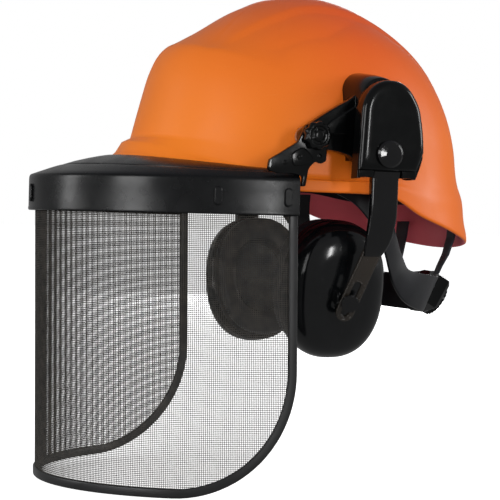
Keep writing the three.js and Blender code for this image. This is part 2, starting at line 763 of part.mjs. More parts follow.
// Brow arm: from the end of the browguard up to the eye on the pivot.
const browArm = prismX(
  [
    [-43.1, -15.5],
    [-40.2, -15.5],
    [-40.2, 12.5],
    [-36, 22],
    [-27.5, 22],
    [-24, 29],
    ...circle(PIVOT_Y, PIVOT_Z, 8.5, -25, 165, 14),
    [-46.5, 33],
    [-67, 22.5],
    [-67, 13.5],
    [-43.1, 13.5],
  ],
  120.4,
  123.4,
  [[PIVOT_Y, PIVOT_Z, 4.4]],
);
const browFill = ringsToGeometry(
  browRings.map((ring, i) => {
    const t = (Math.PI * i) / BROW_STEPS;
    const c = Math.cos(t);
    const s = Math.sin(t);
    const grow = STRIP_OUT + GAP;
    const out = ring[1];
    const g = grow / STRIP_OUT;
    const x = VISOR_HALF_WIDTH * c + (out[0] - VISOR_HALF_WIDTH * c) * g;
    const y = VISOR_END_Y - VISOR_DEPTH * s + (out[1] - (VISOR_END_Y - VISOR_DEPTH * s)) * g;
    return [[x * 0.6, -43, -40], [x, y, -40], [x, y, STRIP_TOP + 1.5], [ring[4][0], ring[4][1], ring[4][2] + 0.5]];
  }),
  false,
);
placePair("brow_arm", subtract(browArm, browFill), COLOURS.dark, 0.45, 0);

// Pivot bolt and knob.
const boltProfile = [[0, 104.4], [7.5, 104.4], [7.5, 107.4], [3.7, 107.4], [3.7, 127], [0, 127]];
placePair("visor_bolt", turned(boltProfile, [0, PIVOT_Y, PIVOT_Z], [1, 0, 0], 20), COLOURS.metal, 0.35, 0.8);
const knobPoints = [];
const LOBES = 10;
for (let i = 0; i < LOBES * 4; i++) {
  const a = (2 * Math.PI * i) / (LOBES * 4);
  const r = 9.6 + 0.7 * Math.cos(a * LOBES);
  knobPoints.push([PIVOT_Y + r * Math.cos(a), PIVOT_Z + r * Math.sin(a)]);
}
const knob = subtract(prismX(knobPoints, 123.8, 131), turned([[0, 120], [4.1, 120], [4.1, 127.5], [0, 127.5]], [0, PIVOT_Y, PIVOT_Z], [1, 0, 0], 20));
placePair("visor_knob", knob, COLOURS.dark, 0.5, 0);

// Ear mount: a rounded-top hood from the shell out to a flat face, open below, with a horn
// reaching forward to the visor pivot.
function hoodRing(x, y0, y1, z0, z1, corner, taper = 0) {
  const round = Math.min((y1 - y0) / 2, corner);
  const points = [[y0, z0], [y1, z0]];
  const top = z1 - round;
  for (let i = 0; i <= 8; i++) {
    const a = (Math.PI / 2) * (i / 8);
    points.push([y1 - round + round * Math.cos(a), top + round * Math.sin(a)]);
  }
  for (let i = 8; i >= 0; i--) {
    const a = (Math.PI / 2) * (i / 8);
    points.push([y0 + round - round * Math.cos(a), top + round * Math.sin(a)]);
  }
  const middle = y0 + (y1 - y0) * 0.46;
  const narrow = (z) => 1 - taper * Math.max(0, (z - z0) / (z1 - z0));
  return points.map(([y, z]) => [x, middle + (y - middle) * narrow(z), z]);
}
const HOOD_WALL = 2.6;
// The base reaches out from the shell; a wider cover plate closes its outer end.
const HOOD_BASE = [
  [84, -2, 28.6, 24, 89, 15],
  [112, -1.8, 28.4, 24, 85, 14.9],
  [127, -1.6, 28.2, 24, 82, 14.8],
];
const HOOD_PLATE = [
  [127.8, -9.4, 37.4, 11, 79.3, 22, 0.15],
  [129, -9.8, 38, 11, 80, 22, 0.15],
  [140, -9.4, 37.4, 11.5, 78, 22, 0.15],
  [142.4, -8, 36, 12.8, 76.8, 21, 0.15],
  [143, -6.6, 34.6, 14, 75.6, 20, 0.15],
];
const hoodOutside = ringsToGeometry([...HOOD_BASE, ...HOOD_PLATE].map((p) => hoodRing(...p)), false);
function cavityRing(x, y0, y1, z0, z1, corner, taper) {
  return hoodRing(x, y0 + HOOD_WALL, y1 - HOOD_WALL, -20, z1 - HOOD_WALL, corner - HOOD_WALL / 2, taper);
}
const hoodCavity = ringsToGeometry(
  [
    cavityRing(80, ...HOOD_BASE[0].slice(1)),
    cavityRing(...HOOD_BASE[1]),
    cavityRing(129.5, ...HOOD_BASE[2].slice(1)),
    cavityRing(130.3, ...HOOD_PLATE[1].slice(1)),
    cavityRing(140.2, ...HOOD_PLATE[2].slice(1)),
  ],
  false,
);
const horn = prismX(
  [
    [2, 68.5],
    [-14, 61.5],
    [-29, 52.5],
    ...circle(PIVOT_Y, PIVOT_Z, 8, 105, 285, 14),
    [-20, 30.5],
    [-13, 29.5],
    [2, 24.5],
  ],
  108,
  116,
  [[PIVOT_Y, PIVOT_Z, 4.4]],
);
const PIN_X = 133;
const PIN_Z = 15.5;
function barrel(r, y0, y1, x = PIN_X, z = PIN_Z) {
  return turned([[0, y0], [r, y0], [r, y1], [0, y1]], [x, 0, z], [0, 1, 0], 20);
}
const lugFront = prismBoxes(128.2, 139.3, -8, 3.4, 12, 26);
const lugRear = prismBoxes(128.2, 139.3, 24.9, 36, 12, 26);
function prismBoxes(x0, x1, y0, y1, z0, z1) {
  const g = new THREE.BoxGeometry(x1 - x0, y1 - y0, z1 - z0);
  g.translate((x0 + x1) / 2, (y0 + y1) / 2, (z0 + z1) / 2);
  return mergedPlain(g);
}
let mountSolid = toSolid(hoodOutside).add(toSolid(horn));
mountSolid = mountSolid.subtract(toSolid(hoodCavity));
mountSolid = mountSolid.subtract(toSolid(prismBoxes(139.4, 150, -20, 50, -30, 17)));
mountSolid = mountSolid.add(toSolid(lugFront)).add(toSolid(lugRear));
mountSolid = mountSolid.subtract(toSolid(barrel(2.7, -5, 40)));
mountSolid = mountSolid.subtract(toSolid(shellFill));
placePair("ear_mount", toGeometry(mountSolid), COLOURS.dark, 0.45, 0);

placePair("slot_adapter", subtract(prismBoxes(101, 108, 1.4, 25.2, 27, 58), shellFill), COLOURS.dark, 0.55, 0);

const capProfile = [[0, 143.3], [9.5, 143.3], [9.5, 145.4], [8, 146.6], [4, 147.2], [0, 147.3]];
placePair("pivot_cap", turned(capProfile, [0, 12.5, 28], [1, 0, 0], 24), COLOURS.glossy, 0.15, 0);

placePair("arm_hinge_pin", barrel(2.3, 0.6, 27.6), COLOURS.metal, 0.3, 0.9);

// The ear cup's frame: x across (forward to back), y up and z out from the head.
const cupTurn = THREE.MathUtils.degToRad(CUP_TILT);
const cupOut = new THREE.Vector3(Math.cos(cupTurn), 0, -Math.sin(cupTurn));
const cupUp = new THREE.Vector3(Math.sin(cupTurn), 0, Math.cos(cupTurn));
const cupAcross = new THREE.Vector3().crossVectors(cupUp, cupOut);
const cupFrame = new THREE.Matrix4().makeBasis(cupAcross, cupUp, cupOut).setPosition(...CUP_CENTRE);
const STUD_AT = new THREE.Vector3(0, 0, CUP_DEPTH + 5).applyMatrix4(cupFrame);

// Ear arm: an eye on the pin, a bar down out of the mount, then a slotted blade over the cup.
const BLADE_TOP = new THREE.Vector3(132.5, 14, -24);
const BLADE_END = new THREE.Vector3(112, -3.7, -82.5);
const BLADE_WIDE = 13;
const BLADE_THICK = 3;
const down = BLADE_END.clone().sub(BLADE_TOP).normalize();
const toStud = STUD_AT.clone().sub(BLADE_TOP);
const outward = toStud.clone().addScaledVector(down, -toStud.dot(down)).normalize().negate();
const across = new THREE.Vector3().crossVectors(down, outward);
const bladeFrame = new THREE.Matrix4().makeBasis(across, down, outward).setPosition(BLADE_TOP);
const bladeLength = BLADE_END.distanceTo(BLADE_TOP);
const bladeShape = new THREE.Shape();
const half = BLADE_WIDE / 2;
bladeShape.moveTo(-half, 10);
bladeShape.lineTo(half, 10);
bladeShape.lineTo(half, bladeLength);
bladeShape.absarc(0, bladeLength, half, 0, Math.PI, false);
bladeShape.lineTo(-half, 10);
const SLOT_HALF = 2.7;
const SLOT_FROM = 43;
const slot = new THREE.Path();
slot.moveTo(SLOT_HALF, SLOT_FROM);
slot.absarc(0, SLOT_FROM, SLOT_HALF, 0, Math.PI, true);
slot.lineTo(-SLOT_HALF, bladeLength);
slot.absarc(0, bladeLength, SLOT_HALF, Math.PI, 0, true);
bladeShape.holes.push(slot);
const blade = new THREE.ExtrudeGeometry(bladeShape, { depth: BLADE_THICK, bevelEnabled: false, curveSegments: 10 });
blade.translate(0, 0, -BLADE_THICK / 2);
blade.applyMatrix4(bladeFrame);
const barRings = [
  [128.2, 136.6, 4, 24.4, 15.5],
  [128.4, 136.2, 4, 24.4, 4],
  [128, 135.4, 4, 24.4, -14],
  [126.8, 133.6, 3, 22.4, -30],
  [125.6, 131.4, 2.6, 19, -38],
  [125.2, 129.6, 3, 16.4, -41],
].map(([x0, x1, y0, y1, z]) => [[x0, y0, z], [x1, y0, z], [x1, y1, z], [x0, y1, z]]);
const bar = ringsToGeometry(barRings, false);
let armSolid = toSolid(bar).add(toSolid(mergedPlain(blade)));
armSolid = armSolid.add(toSolid(barrel(4.6, 4, 24.4)));
armSolid = armSolid.subtract(toSolid(barrel(2.55, -5, 40)));
placePair("ear_arm", toGeometry(armSolid), COLOURS.dark, 0.4, 0);

const CUP_POINTS = 30;
function cupRing(scale, inset, z, power = 2.35) {
  const points = [];
  for (let i = 0; i < CUP_POINTS; i++) {
    const a = (2 * Math.PI * i) / CUP_POINTS;
    const c = Math.cos(a);
    const s = Math.sin(a);
    const x = Math.sign(c) * Math.abs(c) ** (2 / power) * (CUP_HALF_WIDTH * scale - inset);
    const y = Math.sign(s) * Math.abs(s) ** (2 / power) * (CUP_HALF_HEIGHT * scale - inset);
    points.push([x, y, z]);
  }
  return points;
}
function inCupFrame(g) {
  g.applyMatrix4(cupFrame);
  if (signedVolume(g) < 0) flip(g);
  return g;
}
const CUP_OUTSIDE = [[0.97, 0], [1, 4], [1, 11], [0.985, 17], [0.93, 23], [0.82, 28], [0.62, 31.5], [0.35, CUP_DEPTH]];
const cupRings = [
  ...CUP_OUTSIDE.map(([k, z]) => cupRing(k, 0, z)).reverse(),
  ...CUP_OUTSIDE.map(([k, z]) => cupRing(k, CUP_WALL, z === 0 ? 0 : z - CUP_WALL * (z / CUP_DEPTH))),
];
const cupShell = inCupFrame(ringsToGeometry(cupRings, false));
const saddleFrom = CUP_DEPTH - 1.5;
function cupBox(x0, x1, y0, y1, z0, z1) {
  const g = new THREE.BoxGeometry(x1 - x0, y1 - y0, z1 - z0);
  g.translate((x0 + x1) / 2, (y0 + y1) / 2, (z0 + z1) / 2);
  g.applyMatrix4(cupFrame);
  return mergedPlain(g);
}
const ears = [cupBox(-7.4, -5.2, -4.5, 4.5, saddleFrom, CUP_DEPTH + 5.5), cupBox(5.2, 7.4, -4.5, 4.5, saddleFrom, CUP_DEPTH + 5.5)];
placePair("cup_shell", unite(cupShell, ...ears), COLOURS.glossy, 0.2, 0);

// Stud that slides in the arm's slot and carries the cup on a cross barrel.
const reach = -toStud.dot(outward);
const studBarrel = turned([[0, -4.8], [3.4, -4.8], [3.4, 4.8], [0, 4.8]], [STUD_AT.x, STUD_AT.y, STUD_AT.z], [0, 1, 0], 20);
const studShank = turned([[0, 0], [2.3, 0], [2.3, reach + 2], [6.2, reach + 2], [6.2, reach + 4], [0, reach + 4]], STUD_AT.toArray(), outward.toArray(), 20);
placePair("cup_stud", unite(studBarrel, studShank), COLOURS.dark, 0.4, 0);

// Inner plate, foam liner and cushion ring.
const plateRings = [cupRing(0.95, 0, -0.3), cupRing(0.95, 0, -3), cupRing(0.56, 0, -3), cupRing(0.56, 0, -0.3)];
placePair("cup_plate", inCupFrame(ringsToGeometry(plateRings, true)), COLOURS.dark, 0.5, 0);
placePair("cup_foam", inCupFrame(ringsToGeometry([cupRing(0.86, 0, 0.5), cupRing(0.86, 0, 7)], false)), COLOURS.foam, 0.95, 0);
const cushionRings = [];
for (let i = 0; i < 10; i++) {
  const a = (2 * Math.PI * i) / 10;
  const round = (v) => Math.sign(v) * Math.abs(v) ** 0.7;
  const mid = 0.765;
  const z = -3.3 - CUSHION_THICK / 2 + (CUSHION_THICK / 2) * round(Math.sin(a));
  cushionRings.push(cupRing(mid + 0.215 * round(Math.cos(a)), 0, z));
}
placePair("ear_cushion", inCupFrame(ringsToGeometry(cushionRings, true)), COLOURS.glossy, 0.4, 0);

export default object;
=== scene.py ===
"""Looks of the hard hat with its mesh visor and ear muffs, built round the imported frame.
Lengths in the shape code are millimetres; they become metres where a mesh is made."""
import math

import bmesh
import bpy
import numpy as np
from mathutils import Matrix, Vector
from mathutils.bvhtree import BVHTree


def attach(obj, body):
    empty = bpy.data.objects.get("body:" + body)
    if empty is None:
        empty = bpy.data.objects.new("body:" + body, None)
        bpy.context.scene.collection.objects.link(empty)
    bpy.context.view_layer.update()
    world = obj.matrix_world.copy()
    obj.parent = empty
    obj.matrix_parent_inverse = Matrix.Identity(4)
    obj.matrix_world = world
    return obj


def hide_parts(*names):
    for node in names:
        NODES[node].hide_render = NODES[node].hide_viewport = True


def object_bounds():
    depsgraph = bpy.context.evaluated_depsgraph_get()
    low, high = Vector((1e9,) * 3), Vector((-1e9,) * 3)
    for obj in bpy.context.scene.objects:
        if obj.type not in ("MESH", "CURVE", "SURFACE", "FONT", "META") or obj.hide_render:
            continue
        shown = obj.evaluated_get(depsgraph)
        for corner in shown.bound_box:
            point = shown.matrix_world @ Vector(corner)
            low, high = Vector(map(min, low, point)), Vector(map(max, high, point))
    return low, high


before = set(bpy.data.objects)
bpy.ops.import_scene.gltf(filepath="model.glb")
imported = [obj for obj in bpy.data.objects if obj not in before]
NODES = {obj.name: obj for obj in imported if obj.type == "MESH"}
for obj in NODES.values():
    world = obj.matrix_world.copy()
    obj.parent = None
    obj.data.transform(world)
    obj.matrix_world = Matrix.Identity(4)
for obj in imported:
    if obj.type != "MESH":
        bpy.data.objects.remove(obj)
cad_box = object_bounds()
MM = 0.001

# ---------------------------------------------------------------- camera and light


def camera():
    azimuth, elevation, roll = 1.2044, 0.0189, 0.0257
    level = math.cos(elevation)
    back = Vector((math.sin(azimuth) * level, -math.cos(azimuth) * level, math.sin(elevation)))
    right = Vector((math.cos(azimuth), math.sin(azimuth), 0))
    up = back.cross(right)
    tilted_right = right * math.cos(roll) + up * math.sin(roll)
    tilted_up = up * math.cos(roll) - right * math.sin(roll)
    data = bpy.data.cameras.new("camera")
    data.lens = 107.6
    data.sensor_width = 36
    data.clip_end = 50
    o = bpy.data.objects.new("camera", data)
    bpy.context.scene.collection.objects.link(o)
    turn = Matrix((tilted_right, tilted_up, back)).transposed()
    place = Vector((2.67, -34.05, -42.18)) * MM + back * 1.14
    o.matrix_world = Matrix.Translation(place) @ turn.to_4x4()
    bpy.context.scene.camera = o


def area(name, place, aim, size, power, colour=(1, 1, 1)):
    data = bpy.data.lights.new(name, "AREA")
    data.shape = "RECTANGLE"
    data.size, data.size_y = size
    data.energy = power
    data.color = colour
    o = bpy.data.objects.new(name, data)
    bpy.context.scene.collection.objects.link(o)
    o.location = place
    o.rotation_euler = (Vector(aim) - Vector(place)).to_track_quat("-Z", "Y").to_euler()
    return o


def studio():
    scene = bpy.context.scene
    scene.view_settings.view_transform = "Standard"
    scene.view_settings.look = "None"
    world = bpy.data.worlds.new("studio")
    world.use_nodes = True
    scene.world = world
    tree = world.node_tree
    ground = tree.nodes["Background"]
    place = tree.nodes.new("ShaderNodeTexCoord")
    split = tree.nodes.new("ShaderNodeSeparateXYZ")
    ramp = tree.nodes.new("ShaderNodeValToRGB")
    tree.links.new(place.outputs["Generated"], split.inputs[0])
    tree.links.new(split.outputs["Z"], ramp.inputs["Fac"])
    tree.links.new(ramp.outputs["Color"], ground.inputs["Color"])
    stops = ramp.color_ramp.elements
    stops[0].position = 0.0
    stops[0].color = (0.30, 0.30, 0.30, 1)
    stops[1].position = 0.9
    stops[1].color = (0.24, 0.24, 0.26, 1)
    middle = stops.new(0.5)
    middle.color = (0.34, 0.34, 0.34, 1)
    ground.inputs["Strength"].default_value = 1.0
    plain = tree.nodes.new("ShaderNodeBackground")
    plain.inputs["Color"].default_value = (1, 1, 1, 1)
    path = tree.nodes.new("ShaderNodeLightPath")
    choose = tree.nodes.new("ShaderNodeMixShader")
    tree.links.new(path.outputs["Is Camera Ray"], choose.inputs[0])
    tree.links.new(ground.outputs[0], choose.inputs[1])
    tree.links.new(plain.outputs[0], choose.inputs[2])
    tree.links.new(choose.outputs[0], tree.nodes["World Output"].inputs["Surface"])
    area("key", (1.5, -2.4, 0.5), (0, -0.02, 0), (0.9, 1.3), 28)
    area("front", (-0.6, -2.8, 0.5), (0, -0.05, 0), (0.7, 1.2), 17)
    fill = area("fill", (2.42, -0.94, -0.05), (0, 0.02, -0.03), (0.5, 0.5), 12)
    fill.visible_glossy = False
    area("side", (2.9, 0.35, 0.35), (0, 0, -0.02), (0.22, 0.7), 17)
    area("back", (1.0, 2.6, 0.8), (0, 0, 0.0), (0.8, 1.3), 38)
    area("far", (-2.4, 1.2, 0.5), (0, 0, 0.0), (0.8, 1.3), 16)
    floor_z = cad_box[0][2] - 0.004
    mesh = bpy.data.meshes.new("floor")
    corners = [(-30, -30, floor_z), (30, -30, floor_z), (30, 30, floor_z), (-30, 30, floor_z)]
    mesh.from_pydata(corners, [], [(0, 1, 2, 3)])
    floor = bpy.data.objects.new("floor", mesh)
    scene.collection.objects.link(floor)
    m = bpy.data.materials.new("floor_paper")
    m.use_nodes = True
    shade = m.node_tree.nodes["Principled BSDF"]
    shade.inputs["Base Color"].default_value = (0.93, 0.93, 0.93, 1)
    shade.inputs["Roughness"].default_value = 0.9
    shade.inputs["Specular IOR Level"].default_value = 0.1
    shade.inputs["Emission Color"].default_value = (1, 1, 1, 1)
    shade.inputs["Emission Strength"].default_value = 0.85
    mesh.materials.append(m)
    floor.visible_glossy = False
    floor.visible_diffuse = False


# ---------------------------------------------------------------- materials


def linear(r, g, b):
    def one(v):
        v /= 255
        return v / 12.92 if v <= 0.04045 else ((v + 0.055) / 1.055) ** 2.4
    return (one(r), one(g), one(b), 1)


class Paint:
    """A procedural material: colours varied by noise, roughness and bump from nodes."""

    def __init__(self, name, roughness=0.5, metallic=0.0, specular=0.5):
        self.m = bpy.data.materials.new(name)
        self.m.use_nodes = True
        self.t = self.m.node_tree
        self.shade = self.t.nodes["Principled BSDF"]
        self.shade.inputs["Roughness"].default_value = roughness
        self.shade.inputs["Metallic"].default_value = metallic
        self.shade.inputs["Specular IOR Level"].default_value = specular
        self.coord = self.node("ShaderNodeTexCoord").outputs["Object"]
        self.normal = None

    def node(self, kind, **values):
        n = self.t.nodes.new(kind)
        for k, v in values.items():
            setattr(n, k, v)
        return n

    def link(self, a, b):
        self.t.links.new(a, b)

    def stretched(self, scale):
        n = self.node("ShaderNodeMapping")
        self.link(self.coord, n.inputs["Vector"])
        n.inputs["Scale"].default_value = scale
        return n.outputs["Vector"]

    def noise(self, scale, detail=3.0, rough=0.55, stretch=None, distort=0.0):
        n = self.node("ShaderNodeTexNoise")
        n.inputs["Scale"].default_value = scale
        n.inputs["Detail"].default_value = detail
        n.inputs["Roughness"].default_value = rough
        n.inputs["Distortion"].default_value = distort
        self.link(self.stretched(stretch) if stretch else self.coord, n.inputs["Vector"])
        return n.outputs["Fac"]

    def voronoi(self, scale, feature="F1", out="Distance"):
        n = self.node("ShaderNodeTexVoronoi", feature=feature)
        n.inputs["Scale"].default_value = scale
        self.link(self.coord, n.inputs["Vector"])
        return n.outputs[out]

    def ramp(self, fac, stops):
        n = self.node("ShaderNodeValToRGB")
        e = n.color_ramp.elements
        while len(e) < len(stops):
            e.new(0.5)
        for x, (p, c) in zip(e, stops):
            x.position = p
            x.color = c if not isinstance(c, (int, float)) else (c, c, c, 1)
        self.link(fac, n.inputs["Fac"])
        return n.outputs["Color"]

    def spread(self, fac, low, high, a=0.3, b=0.7):
        n = self.node("ShaderNodeMapRange")
        n.inputs["From Min"].default_value = a
        n.inputs["From Max"].default_value = b
        n.inputs["To Min"].default_value = low
        n.inputs["To Max"].default_value = high
        self.link(fac, n.inputs["Value"])
        return n.outputs["Result"]

    def mix(self, fac, a, b, blend="MIX"):
        n = self.node("ShaderNodeMix", data_type="RGBA", blend_type=blend)
        for value, socket in ((fac, n.inputs["Factor"]), (a, n.inputs[6]), (b, n.inputs[7])):
            if isinstance(value, (tuple, list, float, int)):
                socket.default_value = value
            else:
                self.link(value, socket)
        return n.outputs[2]

    def math(self, op, a, b=0.0):
        n = self.node("ShaderNodeMath", operation=op)
        for i, v in enumerate((a, b)):
            if isinstance(v, (int, float)):
                n.inputs[i].default_value = v
            else:
                self.link(v, n.inputs[i])
        return n.outputs[0]

    def axis(self, which):
        n = self.node("ShaderNodeSeparateXYZ")
        self.link(self.coord, n.inputs[0])
        return n.outputs[which]

    def colour(self, socket):
        self.link(socket, self.shade.inputs["Base Color"])

    def roughness(self, socket):
        self.link(socket, self.shade.inputs["Roughness"])

    def bump(self, height, strength, distance):
        n = self.node("ShaderNodeBump")
        n.inputs["Strength"].default_value = strength
        n.inputs["Distance"].default_value = distance
        self.link(height, n.inputs["Height"])
        if self.normal:
            self.link(self.normal, n.inputs["Normal"])
        self.normal = n.outputs["Normal"]
        self.link(self.normal, self.shade.inputs["Normal"])

    def rounded(self, radius):
        n = self.node("ShaderNodeBevel", samples=4)
        n.inputs["Radius"].default_value = radius
        self.normal = n.outputs["Normal"]
        self.link(self.normal, self.shade.inputs["Normal"])


def orange_plastic():
    p = Paint("orange_plastic", 0.42, specular=0.26)
    broad = p.noise(9, 2)
    base = p.ramp(broad, [(0.3, linear(232, 108, 24)), (0.7, linear(240, 118, 30))])
    # Painted shade: the shell turns darker and redder towards the top, standing in for the weaker light from above.
    height = p.spread(p.axis("Z"), 0, 1, 0.045, 0.15)
    base_with_painted_light = p.mix(height, base, linear(214, 80, 36))
    # Painted light: the shell turns lighter and yellower towards the front, standing in for the brighter light there.
    painted_front_light = p.spread(p.axis("Y"), 0, 0.55, 0.02, -0.11)
    base_with_painted_light = p.mix(painted_front_light, base_with_painted_light, linear(240, 134, 34))
    scuff = p.ramp(p.noise(60, 6, 0.7, (1, 1, 9), 1.2), [(0.60, 0), (0.74, 1)])
    worn = p.mix(p.math("MULTIPLY", scuff, 0.10), base_with_painted_light, linear(246, 176, 120))
    speck = p.ramp(p.noise(900, 2), [(0.66, 0), (0.76, 1)])
    p.colour(p.mix(p.math("MULTIPLY", speck, 0.12), worn, linear(150, 60, 30)))
    p.roughness(p.spread(p.noise(38, 4), 0.38, 0.5))
    p.bump(p.noise(1300, 2), 0.10, 0.00012)
    p.bump(p.noise(140, 3, 0.5), 0.14, 0.0003)
    return p.m


# Painted shade: the inside of the orange shell, the same plastic, gets a redder colour standing in for the shade and
# the light through the wall seen there.
def inside_shade_plastic():
    p = Paint("orange_plastic_painted_inside_shade", 0.5, specular=0.3)
    base = p.ramp(p.noise(14, 3), [(0.3, linear(236, 98, 110)), (0.7, linear(244, 108, 118))])
    p.colour(base)
    p.roughness(p.spread(p.noise(60, 4), 0.45, 0.6))
    p.bump(p.noise(800, 2), 0.15, 0.00015)
    return p.m


def black_plastic(name, dark, light, rough, grain=900, strength=0.25, edge=0.0005, specular=0.5):
    p = Paint(name, rough, specular=specular)
    p.rounded(edge)
    base = p.ramp(p.noise(26, 4), [(0.3, linear(*dark)), (0.72, linear(*light))])
    scratch = p.ramp(p.noise(55, 7, 0.75, (1, 6, 1), 1.5), [(0.62, 0), (0.8, 1)])
    grey = tuple(v + 26 for v in light)
    dust = p.ramp(p.noise(420, 3, 0.6), [(0.60, 0), (0.78, 1)])
    worn = p.mix(p.math("MULTIPLY", scratch, 0.28), base, linear(*grey))
    p.colour(p.mix(p.math("MULTIPLY", dust, 0.16), worn, linear(*grey)))
    p.roughness(p.spread(p.noise(48, 5), rough - 0.06, rough + 0.08))
    p.bump(p.noise(grain, 3, 0.6), strength, 0.0001)
    return p.m


def wire_metal():
    p = Paint("mesh_wire", 0.6, 0.0, 0.22)
    p.colour(p.ramp(p.noise(160, 3), [(0.3, linear(40, 39, 37)), (0.7, linear(66, 62, 57))]))
    p.roughness(p.spread(p.noise(500, 2), 0.55, 0.7))
    return p.m


def bright_steel():
    p = Paint("steel", 0.3, 1.0, 0.5)
    p.rounded(0.0003)
    p.colour(p.ramp(p.noise(70, 4), [(0.3, linear(150, 152, 156)), (0.7, linear(184, 186, 190))]))
    p.roughness(p.spread(p.noise(300, 3, 0.6, (1, 1, 12)), 0.24, 0.42))
    p.bump(p.noise(900, 2, 0.5, (1, 1, 14)), 0.12, 0.00005)
    return p.m


def cushion_vinyl():
    p = Paint("cushion_vinyl", 0.42, specular=0.45)
    p.colour(p.ramp(p.noise(40, 4), [(0.3, linear(24, 25, 28)), (0.7, linear(36, 37, 41))]))
    p.roughness(p.spread(p.noise(90, 4), 0.36, 0.52))
    grain = p.voronoi(1100, "DISTANCE_TO_EDGE")
    p.bump(p.ramp(grain, [(0.0, 0), (0.18, 1)]), 0.35, 0.00012)
    p.bump(p.noise(120, 3), 0.2, 0.0004)
    return p.m


def open_foam(name, dark, light):
    p = Paint(name, 0.95, specular=0.15)
    cells = p.voronoi(1500)
    shade = p.ramp(cells, [(0.15, linear(*dark)), (0.6, linear(*light))])
    p.colour(p.mix(0.5, shade, p.ramp(p.noise(60, 3), [(0.3, linear(*dark)), (0.7, linear(*light))])))
    p.bump(cells, 0.6, 0.0004)
    return p.m


def sweat_cloth():
    p = Paint("sweatband_terry", 0.9, specular=0.15)
    loops = p.voronoi(1250)
    p.colour(p.ramp(loops, [(0.1, linear(58, 60, 66)), (0.65, linear(34, 35, 39))]))
    p.bump(loops, 0.7, 0.0005)
    p.bump(p.noise(200, 3), 0.2, 0.0006)
    p.shade.inputs["Sheen Weight"].default_value = 0.25
    return p.m


def strap_weave():
    p = Paint("strap_webbing", 0.8, specular=0.2)
    x, y, z = p.axis("X"), p.axis("Y"), p.axis("Z")
    along = p.math("ADD", x, y)
    across = p.math("SUBTRACT", x, y)
    a = p.math("SINE", p.math("MULTIPLY", p.math("ADD", along, z), 3600))
    b = p.math("SINE", p.math("MULTIPLY", p.math("SUBTRACT", across, z), 3600))
    weave = p.spread(p.math("MULTIPLY", a, b), 0, 1, -1, 1)
    woven = [(0.1, linear(26, 28, 32)), (0.8, linear(62, 65, 72))]
    p.colour(p.mix(p.noise(70, 4), p.ramp(weave, woven), linear(46, 48, 54)))
    p.bump(weave, 0.5, 0.0003)
    p.shade.inputs["Sheen Weight"].default_value = 0.2
    return p.m


# ---------------------------------------------------------------- mesh helpers


def piece(name, points, faces, body, materials, replaces=(), smooth=True, picks=None):
    mesh = bpy.data.meshes.new(name)
    mesh.from_pydata([tuple(v) for v in np.asarray(points, float) * MM], [], [tuple(int(i) for i in f) for f in faces])
    mesh.validate()
    for m in materials:
        mesh.materials.append(m)
    if picks is not None:
        mesh.polygons.foreach_set("material_index", np.asarray(picks, np.int32))
    if smooth:
        mesh.polygons.foreach_set("use_smooth", np.ones(len(mesh.polygons), bool))
    o = bpy.data.objects.new(name, mesh)
    bpy.context.scene.collection.objects.link(o)
    clean(o)
    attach(o, body)
    if replaces:
        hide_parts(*replaces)
    return o


def clean(o):
    b = bmesh.new()
    b.from_mesh(o.data)
    bmesh.ops.recalc_face_normals(b, faces=b.faces)
    b.to_mesh(o.data)
    b.free()


def lattice(rows, columns, round_rows=False, round_columns=True, start=0):
    faces = []
    for i in range(rows if round_rows else rows - 1):
        for j in range(columns if round_columns else columns - 1):
            a, b = start + i * columns, start + ((i + 1) % rows) * columns
            k = (j + 1) % columns
            faces.append((a + j, a + k, b + k, b + j))
    return faces


def sweep(name, rings, body, materials, replaces=(), closed=False, smooth=True):
    """A surface through rings of the same number of points; open ends are capped."""
    rings = np.asarray(rings, float)
    rows, columns = rings.shape[:2]
    points = rings.reshape(-1, 3)
    faces = lattice(rows, columns, closed)
    if not closed:
        faces += [tuple(range(columns))[::-1], tuple(range((rows - 1) * columns, rows * columns))]
    return piece(name, points, faces, body, materials, replaces, smooth)


def crease(o, degrees=38):
    """Sharp shading past an angle, kept as mesh data."""
    b = bmesh.new()
    b.from_mesh(o.data)
    for e in b.edges:
        e.smooth = not (len(e.link_faces) == 2 and e.calc_face_angle(0) > math.radians(degrees))
    b.to_mesh(o.data)
    b.free()


def bevel(o, width, segments=2, angle=35):
    m = o.modifiers.new("bevel", "BEVEL")
    m.width = width * MM
    m.segments = segments
    m.limit_method = "ANGLE"
    m.angle_limit = math.radians(angle)
    m.harden_normals = False
    return m


def smoothstep(a, b, x):
    t = np.clip((np.asarray(x, float) - a) / (b - a), 0, 1)
    return t * t * (3 - 2 * t)


def spline(points, t):
    """Points along a uniform Catmull-Rom curve, t from 0 to 1."""
    p = np.asarray(points, float)
    f = np.asarray(t, float) * (len(p) - 1)
    i = np.minimum(np.floor(f).astype(int), len(p) - 2)
    w = (f - i)[:, None]
    p0, p1, p2, p3 = p[np.maximum(i - 1, 0)], p[i], p[i + 1], p[np.minimum(i + 2, len(p) - 1)]
    v0, v1 = (p2 - p0) / 2, (p3 - p1) / 2
    return (2 * p1 - 2 * p2 + v0 + v1) * w**3 + (-3 * p1 + 3 * p2 - 2 * v0 - v1) * w**2 + v0 * w + p1


# ---------------------------------------------------------------- shell

